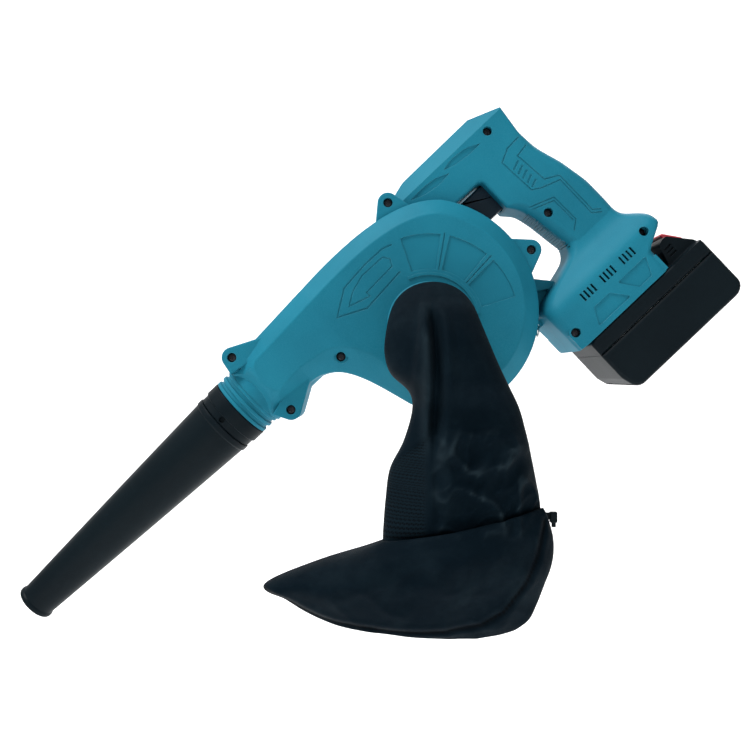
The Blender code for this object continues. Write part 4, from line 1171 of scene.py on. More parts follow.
    def face_relief(self) -> list[bpy.types.Object]:
        """Cutters for the fan housing's flow arrow and its three window panels."""
        top, deep = self.near_face - 1 * MM, self.near_face + 0.55 * MM
        cutters = [self.sector(f"window_{number}", 38.2, 62.8, start, end, top, self.near_face + 0.8 * MM)
                   for number, (start, end) in enumerate(((39.5, 65.5), (7, 33.5), (-26, 1.5)))]
        ridges = [self.sector(f"window_line_{number}", 37.8, 64.2, angle, angle + 0.9, top, deep)
                  for number, angle in enumerate((36.4, 3.8))]
        arrow = [(18.8, 58.2), (12, 60.6), (-5, 60.9), (-26.3, 58.9), (-43.8, 47.4), (-24.1, 37.6),
                 (10, 40.4)]
        inner = [(-23.1, 53.2), (-11.3, 56.6), (8, 56.2), (11, 51.8), (8.6, 46.9), (-17, 45.9),
                 (-17, 42.4), (-32.4, 47.3), (-23.6, 52.9)]
        return [*cutters, *ridges, ribbon("arrow_line", arrow, 1.0 * MM, top, deep),
                ribbon("arrow_inner", inner, 0.8 * MM, top, deep - 0.15 * MM)]

    def side_relief(self, side: int) -> list[bpy.types.Object]:
        """Cutters for the arm's leaves, the grip's lines and pad, and the base's pockets."""
        face = self.grip_half
        deep = face - 0.55 * MM

        def strip(name: str, points: Sequence[Flat], width: float) -> bpy.types.Object:
            """Cutter for a line in the grip's side."""
            limits = sorted((side * (face + 1 * MM), side * deep))
            return ribbon(name, points, width * MM, *limits)

        def pocket(name: str, points: Sequence[tuple[float, float, float]], outer: float,
                   down: float) -> bpy.types.Object:
            """Cutter for a shallow pocket in a side at this distance."""
            limits = sorted((side * (outer + 1 * MM), side * (outer - down * MM)))
            return slab(name, rounded(points, 3), *limits)

        lines = [
            [(142.5, 53.9), (131, 53.4), (120.8, 48.4), (122.7, 19.4), (128.4, 15.8), (143.0, 10.4),
             (143.0, -22.8), (149, -27.4)],
            [(142.8, 46.0), (132.4, 44.4), (134.9, 18.6), (144.9, 13.2), (145.0, -21.4), (150, -25.4)],
            [(112.8, 11.2), (130.9, 4.4), (131.6, -18.2), (125.0, -23.4)],
            [(113.4, 8.6), (129.2, 2.6), (129.8, -17.2)],
        ]
        made = [strip(f"grip_line_{number}", line, 0.9) for number, line in enumerate(lines)]
        for bar in range(5):
            z = 41.5 - 4.6 * bar
            made.append(strip(f"grip_bar_{bar}", [(123.4 + 0.3 * bar, z - 2.6), (130.4, z)], 1.5))
        made.append(pocket("leaf_rear", [(119, 69.4, 0), (108, 74.6, 14), (96, 75.7, 14), (86.5, 73.8, 0),
                                         (95, 70.8, 14), (107, 69.4, 14)], face, 0.9))
        made.append(pocket("leaf_front", [(87.5, 69.2, 0), (78, 73.6, 14), (66, 74.9, 14), (54, 74.2, 0),
                                          (64, 70.2, 14), (77, 68.2, 14)], face, 0.9))
        made.append(pocket("pocket_rear", [(116.4, -70.4, 1), (143.6, -70.4, 1), (137.4, -83.6, 1),
                                           (125.8, -83.6, 1)], self.base_half, 0.9))
        made.append(pocket("pocket_front", [(92.5, -71.6, 1), (107.3, -71.6, 1), (117, -83.8, 1),
                                            (86, -83.8, 1)], self.base_half, 0.9))
        return made

    def serrations(self) -> bpy.types.Object:
        """Fine cross cuts down the back and front of the grip, as one cutter."""
        cutters = []
        for number in range(self.rear_serrations):
            z = 55 - self.serration * number
            rear, = smooth_value([(-33, 158.3), (-24, 158.9), (-3, 158.5), (19.3, 154.3), (38.6, 148.7),
                                  (58, 145.9)], z)
            cutters.append((f"rear_{number}", rear, z))
        for number in range(self.front_serrations):
            z = 8 - self.serration * number
            front, = smooth_value([(-34, 116.2), (-22, 114.0), (0, 110.9), (14, 107.9)], z)
            cutters.append((f"front_{number}", front, z))
        pieces = []
        half = 0.45 * MM
        for name, x, z in cutters:
            pieces.append(block(name, ((x - 0.8) * MM, (x + 0.8) * MM), (-15.5 * MM, 15.5 * MM),
                                (z * MM - half, z * MM + half)))
        return gathered("serrations", pieces)

    def vents(self) -> bpy.types.Object:
        """Three groups of four slots through the near side of the base."""
        slots = []
        for group in range(3):
            for number in range(4):
                x = self.vent_start + self.vent_group * group + self.vent_pitch * number
                slots.append(block(f"vent_{group}_{number}", (x * MM, (x + self.vent_width) * MM),
                                   (-50 * MM, -26 * MM), (-64.6 * MM, -58 * MM)))
        return gathered("vents", slots)

    def chamber_vents(self) -> bpy.types.Object:
        """Slots through the end of the motor chamber."""
        slots = []
        slot_half, reach = 1.6 * MM, 24 * MM
        for row in range(5):
            z = (-16 + 8 * row) * MM
            half = math.sqrt(reach ** 2 - z * z)
            slots.append(block(f"chamber_vent_{row}", (-half, half), (50 * MM, 80 * MM),
                               (z - slot_half, z + slot_half), 0.6 * MM))
        return gathered("chamber_vents", slots)

    def screw_holes(self, near_side: bool) -> list[bpy.types.Object]:
        """Head recesses on the near side, and the screws' own holes on both."""
        recesses, holes = [], []
        for post in self.screws():
            x, z = post.x * MM, post.z * MM
            if near_side:
                start, end = post.seat - 1 * MM, 5 * MM
                recesses.append(rod("recess_" + post.name, x, z, self.head_hole, post.near - 12 * MM,
                                    post.seat))
            else:
                start, end = -5 * MM, post.thread_end - 2 * MM
            holes.append(rod("hole_" + post.name, x, z, self.thread_hole, start, end, 16))
        groups = (("recesses", recesses), ("holes", holes))
        return [gathered(name, group) for name, group in groups if group]

    def half(self, name: str, whole: bpy.types.Object, near_side: bool) -> bpy.types.Object:
        """One half of the clamshell, with its posts, holes and relief."""
        along, aside, up = self.clear_of_all
        limits = (-aside, -self.split) if near_side else (self.split, aside)
        piece = copied(whole, name)
        combine(piece, "INTERSECT", block("side", (-along, along), limits, (-up, up)))
        for post in self.posts:
            ends = (post.near, limits[1]) if near_side else (limits[0], post.far)
            join(piece, rod("post_" + post.name, post.x * MM, post.z * MM, self.post_radius, *ends))
        cut(piece, *self.screw_holes(near_side))
        if near_side:
            eye = block("eye", (58.6 * MM, 66 * MM), (-2.5 * MM, -0.7 * MM), (-59.4 * MM, -54.6 * MM))
            join(piece, eye)
            cut(piece, rod("eye_hole", 61 * MM, -57 * MM, 1.3 * MM, -10 * MM, 10 * MM, 24),
                *self.face_relief(), self.vents())
        cut(piece, *self.side_relief(-1 if near_side else 1))
        return piece

    def build(self) -> None:
        """Model both halves and hand them over."""
        whole = self.fit_for_pack(self.hollow(self.outside()))
        cut(whole, self.serrations(), self.chamber_vents())
        for name, node, near_side in (("left_casing", "housing_left", True),
                                      ("right_casing", "housing_right", False)):
            piece = self.half(name, whole, near_side)
            self.shop.deliver(piece, "root", [node], "teal_plastic", Finish.TEAL)
        bpy.data.objects.remove(whole, do_unlink=True)


# ---------------------------------------------------------------- nozzle

@dataclass
class Nozzle:
    """Twist-on sleeve and the long tapered tube that it carries."""

    shop: Workshop
    duct_z: float = 51.5 * MM
    sleeve_start: float = -142.3 * MM
    sleeve_length: float = 16 * MM
    sleeve_radius: float = 24.8 * MM
    bore: float = 21.8 * MM
    tube_length: float = 196 * MM
    base_radius: float = 24.4 * MM
    tip_radius: float = 13.4 * MM
    wall: float = 1.8 * MM
    plug_length: float = 7.5 * MM

    def sleeve(self) -> bpy.types.Object:
        """Short sleeve with a rolled lip, a step and a round catch hole."""
        start, radius = self.sleeve_start, self.sleeve_radius
        end = start - self.sleeve_length
        step = radius - 1.2 * MM
        profile = [(self.bore, start), (radius - 0.7 * MM, start), (radius - 0.2 * MM, start - 0.2 * MM),
                   (radius, start - 0.7 * MM), (radius, start - 9.4 * MM),
                   (radius - 0.25 * MM, start - 10 * MM), (step + 0.1 * MM, start - 10.3 * MM),
                   (step, start - 10.7 * MM), (step, end + 0.5 * MM), (step - 0.4 * MM, end),
                   (self.bore, end)]
        piece = spun("sleeve_ring", profile, (0, 0, self.duct_z), "X", 128)
        hole = rod("catch_hole", end + 3.4 * MM, self.duct_z + 1.2 * MM, 2.3 * MM, -40 * MM, -5 * MM)
        return cut(piece, hole)

    def tube(self) -> bpy.types.Object:
        """Long tube with a mouth bead, a faint parting step and a rolled tip."""
        lip = self.sleeve_start - self.sleeve_length - 0.3 * MM
        tip = lip - self.tube_length
        base, end, wall = self.base_radius, self.tip_radius, self.wall
        bead = end + 1 * MM
        taper_start, taper_length, parting = lip - 5 * MM, self.tube_length - 9 * MM, 0.8 * MM

        def radius_at(x: float) -> float:
            """Radius of the straight taper."""
            return base - parting + (end - base + parting) * (taper_start - x) / taper_length

        plug = self.bore - 0.3 * MM
        profile = [(plug - wall, lip + self.plug_length), (plug, lip + self.plug_length), (plug, lip),
                   (base - 0.6 * MM, lip), (base - 0.15 * MM, lip - 0.2 * MM),
                   (base, lip - 0.7 * MM), (base, lip - 3.7 * MM), (base - 0.2 * MM, lip - 4.3 * MM),
                   (radius_at(taper_start), taper_start)]
        parts, swell = 12, 0.25 * MM
        for number in range(1, parts):
            x = taper_start - number * taper_length / parts
            profile.append((radius_at(x) + swell * math.sin(math.pi * number / parts), x))
        profile += [(end, tip + 4.2 * MM), (end + 0.3 * MM, tip + 3.6 * MM),
                    (bead - 0.2 * MM, tip + 3 * MM), (bead, tip + 2.4 * MM), (bead, tip + 0.8 * MM),
                    (bead - 0.3 * MM, tip + 0.2 * MM), (bead - 0.9 * MM, tip),
                    (end - wall + 0.5 * MM, tip), (end - wall, tip + 0.5 * MM),
                    (end - wall, tip + 6 * MM), (plug - wall, lip - 14 * MM)]
        return spun("blower_tube", profile, (0, 0, self.duct_z), "X", 128)

    def build(self) -> None:
        """Model both pieces and hand them over."""
        self.shop.deliver(self.sleeve(), "nozzle_sleeve", ["nozzle_sleeve"], "black_plastic", Finish.BLACK)
        self.shop.deliver(self.tube(), "nozzle_tube", ["nozzle_tube"], "black_plastic", Finish.BLACK)


# ---------------------------------------------------------------- battery pack

@dataclass
class BatteryPack:
    """Slide-in pack: lower case, lid with its rail and rear block, and the red release button."""

    shop: Workshop
    front: float = 72.5
    length: float = 109.0
    half: float = 37.0
    top: float = -88.3
    height: float = 47.0
    seam_drop: float = 12.0
    wall: float = 2.5
    upright_radius: float = 5.0
    button_top: float = -69.5

    @property
    def rear(self) -> float:
        """Rear end of the pack."""
        return self.front + self.length

    def plan_rounding(self, piece: bpy.types.Object, radius: float) -> None:
        """Round the four upright corners of a pack piece by moving its end vertices in plan."""
        middle = (self.front + self.rear) / 2 * MM
        reach = self.length / 2 * MM
        half = self.half * MM
        for vertex in piece.data.vertices:
            along = abs(vertex.co.x - middle) - (reach - radius)
            aside = abs(vertex.co.y) - (half - radius)
            if along > 0 and aside > 0:
                away = math.hypot(along, aside)
                if away > radius:
                    share = radius / away
                    new_along = reach - radius + along * share
                    vertex.co.x = middle + math.copysign(new_along, vertex.co.x - middle)
                    vertex.co.y = math.copysign(half - radius + aside * share, vertex.co.y)

    def shell_form(self, name: str, corners: Sequence[tuple[float, float, float]],
                   rim: float) -> bpy.types.Object:
        """Side outline across the pack's width, with rounded rims and upright corners."""
        edge = [(inward * rim * MM, down * rim * MM) for inward, down in quarter_rim(RIM_STEPS)]
        piece = slab(name, rounded(corners, RIM_STEPS), -self.half * MM, self.half * MM, edge, edge)
        self.plan_rounding(piece, self.upright_radius * MM)
        return piece

    def tub(self) -> bpy.types.Object:
        """Lower case, hollow for the cells."""
        seam, bottom = self.top - self.seam_drop, self.top - self.height
        corners = [(self.front, seam, 0), (self.rear, seam, 0), (self.rear, bottom, 10),
                   (self.front + 4, bottom, 8), (self.front, bottom + 14, 12)]
        piece = self.shell_form("pack_case", corners, 3)
        hollow = block("case_hollow", ((self.front + self.wall) * MM, (self.rear - self.wall) * MM),
                       ((self.wall - self.half) * MM, (self.half - self.wall) * MM),
                       ((bottom + self.wall) * MM, (seam + 20) * MM), 1.5 * MM)
        return cut(piece, hollow)

    def lid(self) -> bpy.types.Object:
        """Upper case with the rail, the terminal notch and the sloping rear block."""
        top, rear, front = self.top, self.rear, self.front
        seam = top - self.seam_drop
        corners = [(front, seam + 0.05, 0), (front, top - 2, 3), (front + 4, top, 3), (rear - 27, top, 4),
                   (rear - 23, top + 16, 5), (rear - 15, top + 17.5, 3), (rear - 1.5, top + 1.5, 5),
                   (rear, top - 4, 3), (rear, seam + 0.05, 0)]
        piece = self.shell_form("pack_lid", corners, 2.5)
        for side in (-1, 1):
            limits = tuple(sorted((side * 28 * MM, side * 60 * MM)))
            cut(piece, block("shoulder", ((rear - 40) * MM, (rear + 10) * MM), limits,
                             ((top - 0.5) * MM, (top + 30) * MM), 1.2 * MM))
        join(piece, self.rail())
        cut(piece, block("lid_hollow", ((front + self.wall) * MM, (rear - self.wall) * MM),
                         ((self.wall - self.half) * MM, (self.half - self.wall) * MM),
                         ((seam - 10) * MM, (top - self.wall) * MM)),
            block("terminal_notch", (front * MM, 95.4 * MM), (-15 * MM, 15 * MM), (-87.3 * MM, -73 * MM)))
        slots = [block(f"contact_slot_{y}", (90 * MM, 110 * MM), ((y - 1) * MM, (y + 1) * MM),
                       (-86.5 * MM, -73 * MM)) for y in (-8, 8)]
        pocket = block("button_pocket", ((rear - 12.3) * MM, (rear + 5) * MM), (-13.3 * MM, 13.3 * MM),
                       (-94 * MM, -48 * MM))
        return cut(piece, gathered("contact_slots", slots), self.thumb_grooves(), pocket)

    def rail(self) -> bpy.types.Object:
        """T-shaped rail that slides into the base."""
        neck, flange, root, ledge, crown = 19.5, 23, self.top - 3, -84.5, -78
        section = [(-neck, root), (-neck, ledge), (-flange, ledge), (-flange, crown), (flange, crown),
                   (flange, ledge), (neck, ledge), (neck, root)]
        return lofted("rail", [[(x * MM, y * MM, z * MM) for y, z in section]
                               for x in (self.front + 12, self.rear - 20)])

    def thumb_grooves(self) -> bpy.types.Object:
        """Cutter for three short grooves at each side of the rear block."""
        grooves = []
        for number in range(3):
            low = self.top + 4 + 3 * number
            for middle in (-27 * MM, 27 * MM):
                grooves.append(block("thumb_groove", ((self.rear - 22) * MM, (self.rear - 16) * MM),
                                     (middle - 1.2 * MM, middle + 1.2 * MM),
                                     (low * MM, (low + 1.4) * MM)))
        return gathered("thumb_grooves", grooves)

    def button(self) -> bpy.types.Object:
        """Red release button with finger ribs across its slope."""
        front, rear, low, top = self.rear - 12, self.rear - 1, -89.5, self.button_top
        drop, land = 12, 2.2
        corners = [(front, low, 0), (front, top, 1.2), (front + land, top, 1.2), (rear, top - drop, 1.6),
                   (rear, low, 0)]
        edge = [(inward * MM, down * MM) for inward, down in quarter_rim(4)]
        piece = slab("latch_button", rounded(corners, 4), -13 * MM, 13 * MM, edge, edge)
        ribs = []
        for number in range(4):
            share = 0.22 + 0.19 * number
            x, z = front + land + (rear - front - land) * share, top - drop * share
            ribs.append(rod(f"rib_{number}", x * MM, (z + 0.25) * MM, 0.55 * MM, -10.5 * MM, 10.5 * MM, 16))
        return cut(piece, gathered("ribs", ribs))

    def build(self) -> None:
        """Model the pack's outer pieces and hand them over."""
        deliver = self.shop.deliver
        deliver(self.tub(), "battery", ["battery_tub"], "black_plastic", Finish.BLACK)
        deliver(self.lid(), "battery", ["battery_lid"], "black_plastic", Finish.BLACK)
        deliver(self.button(), "release_button", ["release_button"], "red_plastic", Finish.RED)


# ---------------------------------------------------------------- trigger and fasteners

@dataclass
class Trigger:
    """Finger trigger with a hollowed front."""

    shop: Workshop
    half: float = 7.5

    def build(self) -> None:
        """Model the trigger and hand it over."""
        outline = rounded([(86, 29, 3), (84.6, 37, 14), (79.5, 48.3, 1), (112, 48.3, 0), (112, 30, 2),
                           (104, 24.7, 3), (89, 24.7, 3)], 5)
        edge = [(inward * 2 * MM, down * 2 * MM) for inward, down in quarter_rim(5)]
        piece = slab("finger_trigger", outline, -self.half * MM, self.half * MM, edge, edge)
        lines = [block(f"line_{number}", (84 * MM, 87.4 * MM), (-4.5 * MM, 4.5 * MM),
                       ((33 + 3 * number) * MM, (34 + 3 * number) * MM), 0.3 * MM) for number in range(4)]
        join(piece, gathered("lines", lines))
        self.shop.deliver(piece, "trigger", ["trigger"], "black_plastic", Finish.TRIGGER)


@dataclass
class Screws:
    """Nine thread-forming screws with crossed heads, each modelled at its own length."""

    shop: Workshop
    posts: Sequence[Post]
    shank: float = 1.6 * MM
    head: float = 3.1 * MM
    head_height: float = 2.4 * MM
    pitch: float = 1.4
    thread_depth: float = 0.3 * MM
    slot_half: float = 0.42 * MM

    def model(self, seat: float, end: float) -> bpy.types.Object:
        """One screw at the level frame's origin, its head towards the near side."""
        edge = seat - 0.3 * MM
        top = edge - self.head_height
        profile = [(0.0, top), (self.head * 0.55, top), (self.head * 0.86, top + 0.35 * MM),
                   (self.head, top + 1.0 * MM), (self.head, edge), (self.shank, edge)]
        turns = int((end - edge) / (self.pitch * MM)) - 1
        root = self.shank - self.thread_depth
        for turn in range(turns):
            y = edge + (1.0 + self.pitch * turn) * MM
            profile += [(root, y), (self.shank, y + 0.45 * MM), (root, y + 0.9 * MM)]
        profile += [(self.shank * 0.7, end - 1 * MM), (0.0, end)]
        piece = spun("screw_model", profile, (0, 0, 0), "Y", 40)
        for turn in (0, 1):
            bar = block("cross", (-1.9 * MM, 1.9 * MM), (top - 1 * MM, top + 1.3 * MM),
                        (-self.slot_half, self.slot_half))
            bar.data.transform(Matrix.Rotation(math.radians(28 + 90 * turn), 4, "Y"))
            cut(piece, bar)
        return piece

    def build(self) -> None:
        """Model each screw at its own length and hand it over."""
        for post in self.posts:
            piece = self.model(post.seat, post.thread_end - 3 * MM)
            piece.name = piece.data.name = "casing_screw_" + post.name
            piece.data.transform(Matrix.Translation((post.x * MM, 0, post.z * MM)))
            self.shop.deliver(piece, "root", ["screw_" + post.name], "black_steel", Finish.BLACK_STEEL)


@dataclass
class StrapRing:
    """Small wire ring that hangs in the eye at the front of the base."""

    shop: Workshop
    radius: float = 4 * MM
    wire: float = 0.6 * MM

    def build(self) -> None:
        """Model the ring plumb below the eye that it hangs in."""
        low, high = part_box("strap_ring")
        top = Vector(((low.x + high.x) / 2, (low.y + high.y) / 2, high.z - self.wire))
        points = [top + Vector((0, self.radius * math.cos(a), self.radius * (math.sin(a) - 1)))
                  for a in (2 * math.pi * step / 48 for step in range(48))]
        piece = wire_loop("wrist_strap_ring", points, self.wire)
        finish_surface(piece)
        self.shop.register(piece, "strap_ring", ["strap_ring"], "bright_steel", Finish.BRIGHT_STEEL)


# ---------------------------------------------------------------- dust bag

@dataclass(frozen=True)
class BagRow:
    """One row of the bag's cloth, in millimetres from the fan axis.

    The row runs round from its left end to its right end and back. Its front stands proud of the
    middle depth by one reach and its back by another, and its lean turns it up towards the inlet.
    """

    place: float
    left: Flat
    right: Flat
    depth: float
    front: float
    back: float
    lean: float = 0.0
    tuck: float = 0.0

    def values(self) -> list[float]:
        """The row as plain numbers, for smooth interpolation."""
        return [self.place, *self.left, *self.right, self.depth, self.front, self.back, self.lean,
                self.tuck]


@dataclass
class DustBag:
    """Cloth bag on the inlet: cuff, hanging sleeve with pleats and net, and the folded pouch."""

    shop: Workshop
    around: int = 212
    down: int = 222
    thickness: float = 0.7 * MM
    gathers: int = 36
    gather_depth: float = 0.25 * MM
    rows: tuple[BagRow, ...] = (
        BagRow(0.0, (-25.6, 0), (25.6, 0), -60.6, 25.6, 25.6, 90),
        BagRow(0.6, (-26.6, -0.5), (26.6, -0.5), -66, 26.6, 26.2, 88),
        BagRow(1.3, (-29, -3), (28.5, -2), -73, 27.5, 27, 72),
        BagRow(2.1, (-31.2, -11), (31, -9), -81, 28, 26.5, 46),
        BagRow(3.0, (-32, -22), (35.5, -19), -86, 27, 25, 26),
        BagRow(4.0, (-28, -35), (41.5, -32), -88, 26, 24, 11),
        BagRow(5.0, (-16.5, -46.5), (47.5, -44), -88.5, 25, 23.5, 4),
        BagRow(6.0, (-14.2, -58), (54.5, -58), -88.5, 24.5, 23.5),
        BagRow(7.4, (-20, -79), (60, -79), -88, 25, 24),
        BagRow(8.6, (-28.6, -96.5), (64, -97), -87, 26, 25),
        BagRow(9.8, (-31.5, -117), (67, -113), -87, 26, 26),
        BagRow(11.0, (-33, -136), (68, -120), -87, 23, 27),
        BagRow(11.6, (-33.5, -144), (68.5, -123), -87, 21, 27, 0, 0.6),
        BagRow(12.0, (-36, -144), (69.5, -122), -88, 28.5, 27, 0, 1.0),
        BagRow(12.5, (-47, -147.5), (72, -126), -88.5, 31, 27.5),
        BagRow(13.4, (-78, -156.5), (75.5, -138), -89.5, 32, 27),
        BagRow(14.2, (-109.5, -170), (76, -148), -90.5, 30, 24),
        BagRow(15.0, (-96, -179), (74.5, -157), -91, 26, 20),
        BagRow(15.9, (-80, -187.5), (70, -169), -91.5, 20, 15),
        BagRow(16.8, (-58, -196), (65, -182), -92, 13, 10),
        BagRow(17.5, (-30, -200.5), (60, -192), -92, 7, 6),
        BagRow(18.0, (-8, -203), (52, -198.5), -92, 2.5, 2.5),
    )
    seam_line: tuple[Flat, ...] = ((-109, -171), (-88, -181), (-62, -191), (-30, -196.5), (5, -198),
                                   (28, -193), (42, -184), (55, -166), (63, -148), (68.5, -128))
    net_hem_place: float = 11.5

    @staticmethod
    def gap_to(line: Sequence[Flat], x: float, z: float) -> float:
        """Distance from a flat point to a polyline."""
        best = 1e9
        point = Vector((x, z))
        for start, end in zip(line, line[1:]):
            first, way = Vector(start), Vector(end) - Vector(start)
            share = min(max((point - first).dot(way) / way.length_squared, 0), 1)
            best = min(best, (point - first - way * share).length)
        return best

    @staticmethod
    def ridge(value: float, middle: float, width: float) -> float:
        """Soft bump of height 1 round a middle."""
        return math.exp(-((value - middle) / width) ** 2)

    @staticmethod
    def step(value: float, low: float, high: float) -> float:
        """Smooth step from 0 at low to 1 at high."""
        share = min(max((value - low) / (high - low), 0), 1)
        return share * share * (3 - 2 * share)

    def crumple(self, x: float, z: float) -> float:
        """Sharp-crested creases of slack cloth, from 0 in the hollows to 1 on the crests."""
        first = noise.noise(Vector((x * 0.062 + z * 0.036, z * 0.026 - x * 0.018, 3.1)))
        second = noise.noise(Vector((x * 0.085 - z * 0.075, z * 0.040 + x * 0.030, 7.7)))
        return (1 - min(abs(first) * 3.2, 1)) ** 1.6 * 0.65 + (1 - min(abs(second) * 3.0, 1)) ** 1.5 * 0.35

    @staticmethod
    def below_net_top(x: float, z: float) -> float:
        """How far a point lies below the sloping upper edge of the net panel."""
        return 0.73 * (x + 23) - 87 - z

    def pleats(self, x: float, z: float) -> float:
        """How far the hanging front stands in or out, in millimetres."""
        hang = self.step(-z, -12, 6) * self.step(z, -138, -108)
        sway = x + 0.02 * (z + 40) + 0.9 * math.sin(z / 19)
        deep = self.step(z, -82, -64) * 0.7 + 0.3
        pleat = -8.5 * self.ridge(sway, -0.8, 3.0) * deep + 3.4 * self.ridge(sway, -6.8, 3.4) * deep
        pleat += 3.0 * self.ridge(sway, 5.6, 4.2) * deep
        pleat -= 1.8 * self.ridge(sway, 24, 6) * self.step(-z, 30, 70)
        edge = -10.3 - 0.103 * (7.7 - z)
        curtain = 7.0 * self.step(x, edge - 1.8, edge + 2.2)
        curtain *= self.step(z, -60, -40) * self.step(-z, -14, -6)
        below = self.below_net_top(x, z)
        ledge = -4.0 * self.step(below, -1, 4) * self.step(-x, 3, 9) * self.step(z, -142, -112)
        shelf = 3.2 * self.step(-z, 69, 74) * self.step(x, -1, 6) * self.step(z, -134, -104)
        slack = self.step(-z, 68, 84) * self.step(z, -139, -126) * self.step(x, -6, 6)
        return hang * pleat + curtain + ledge + shelf + slack * (7.5 * self.crumple(x, z) - 2.8)

    def pouch_creases(self, x: float, z: float) -> float:
        """Soft dents of the folded pouch, in millimetres."""
        low = self.step(-z, 138, 154)
        dents = 1.5 * math.sin(0.055 * x + 0.045 * z) + 1.0 * math.sin(0.10 * x - 0.07 * z + 2)
        dents += 2.4 * self.crumple(x * 0.6 + 40, z * 0.8)
        dents -= 2.8 * self.ridge(x * 0.62 - z * 0.78, 82, 7) * self.step(-x, 5, 30)
        return low * dents

    def surface(self) -> tuple[list[list[Vector]], dict[str, list[list[float]]]]:
        """Rows of points, with each point's share of net, of seam and of painted sheen on crease crests."""
        stops = [row.values() for row in self.rows]
        places = []
        shares: dict[str, list[list[float]]] = {"net": [], "seam": [], "painted_crest_sheen": []}
        last = self.rows[-1].place
        for level in range(self.down + 1):
            row = smooth_value(stops, last * level / self.down)
            left_x, left_z, right_x, right_z, depth, front, back, lean, tuck = row
            middle, half = (left_x + right_x) / 2, (right_x - left_x) / 2
            tip = math.radians(max(lean, 0))
            ring = []
            for table in shares.values():
                table.append([])
            for side in range(self.around):
                angle = 2 * math.pi * side / self.around
                across, out = math.cos(angle), math.sin(angle)
                x = middle + half * across
                level_z = left_z + (right_z - left_z) * (across + 1) / 2
                sag = 3.5 * (1 - across * across) * min(max((-level_z - 60) / 60, 0), 1)
                reach = (front if out > 0 else back) * math.copysign(abs(out) ** 0.86, out)
                y = depth - reach * math.cos(tip)
                z = level_z - sag + reach * math.sin(tip)
                facing = max(out, 0) ** 0.6
                z += tuck * 5.5 * facing
                y -= (self.pleats(x, z) + self.pouch_creases(x, z)) * facing * math.cos(tip)
                gap = self.gap_to(self.seam_line, x, z) if out > 0 and z < -118 else 99
                y += 1.9 * self.ridge(gap, 0, 1.7) - 0.8 * self.ridge(gap, 3.6, 1.9)
                wave = noise.noise(Vector((x * 0.05, y * 0.05, z * 0.035)))
                y -= 1.6 * wave * facing * math.cos(tip)
                ring.append(self.shop.carriage.fan + Vector((x, y, z)) * MM)
                inside = self.step(-x, 5, 9) * self.step(self.below_net_top(x, z), 0, 3)
                above_hem = level < self.down * self.net_hem_place / last
                shares["net"][-1].append(inside if above_hem else 0.0)
                shares["seam"][-1].append(self.ridge(gap, 0, 1.5))
                # Painted sheen mask: crumple crests in the slack cloth and the ridge of one pleat, which
                # the material lightens
                slack = self.step(-z, 66, 84) * self.step(z, -139, -126)
                fold = self.step(self.crumple(x, z), 0.45, 0.95) * slack
                pleat = self.ridge(x + 6.8, 0, 3.2) * self.step(-z, 4, 16) * self.step(z, -96, -70)
                shares["painted_crest_sheen"][-1].append(facing * max(fold * self.step(x, -6, 6), 0.6 * pleat))
            places.append(ring)
        return places, shares

    def cloth(self) -> bpy.types.Object:
        """The bag's cloth, one sewn shell open at the cuff."""
        places, shares = self.surface()
        choose()
        bpy.ops.mesh.primitive_grid_add(x_subdivisions=self.around, y_subdivisions=self.down)
        piece = named("dust_bag_cloth")
        place_vertices(piece, [point for ring in places for point in [*ring, ring[0]]])
        for name, table in shares.items():
            attribute = piece.data.attributes.new(name, "FLOAT", "POINT")
            attribute.data.foreach_set("value", [share for row in table for share in [*row, row[0]]])
        self.lay_out_cut(piece, places)
        with editing(piece):
            bpy.ops.mesh.remove_doubles(threshold=WELD)
        self.close_bottom(piece)
        hem = self.shop.carriage.fan.y - 64 * MM
        with editing(piece):
            bpy.ops.mesh.normals_make_consistent(inside=False)
            bpy.ops.object.mode_set(mode="OBJECT")
            for vertex in piece.data.vertices:
                vertex.select = vertex.co.y < hem
            bpy.ops.object.mode_set(mode="EDIT")
            bpy.ops.mesh.vertices_smooth(factor=0.5, repeat=3)
        wall = piece.modifiers.new("cloth_wall", "SOLIDIFY")
        wall.thickness = self.thickness
        wall.offset = -1
        choose(piece)
        bpy.ops.object.modifier_apply(modifier="cloth_wall")
        bpy.ops.object.shade_smooth()
        return piece

    def lay_out_cut(self, piece: bpy.types.Object, places: list[list[Vector]]) -> None:
        """Give the cloth a UV map in metres, round each row and down the middle of the front."""
        chart = piece.data.uv_layers.active or piece.data.uv_layers.new()
        chart.name = "cut"
        columns = self.around + 1
        flat = []
        drop = 0.0
        before = None
        for ring in places:
            girth = 0.0
            front = ring[self.around // 4]
            drop += (front - before).length if before is not None else 0.0
            before = front
            for side in range(columns):
                flat.append((girth, drop))
                girth += (ring[(side + 1) % self.around] - ring[side % self.around]).length
        for loop in piece.data.loops:
            chart.data[loop.index].uv = flat[loop.vertex_index]

    def close_bottom(self, piece: bpy.types.Object) -> None:
        """Sew the lowest ring shut."""
        lowest = self.shop.carriage.fan.z - 195 * MM
        with editing(piece):
            bpy.ops.mesh.select_all(action="DESELECT")
            bpy.ops.mesh.select_mode(type="EDGE")
            bpy.ops.mesh.select_non_manifold()
            bpy.ops.object.mode_set(mode="OBJECT")
            points = piece.data.vertices
            for edge in piece.data.edges:
                if edge.select and max(points[index].co.z for index in edge.vertices) > lowest:
                    edge.select = False
            bpy.ops.object.mode_set(mode="EDIT")
            bpy.ops.mesh.edge_face_add()

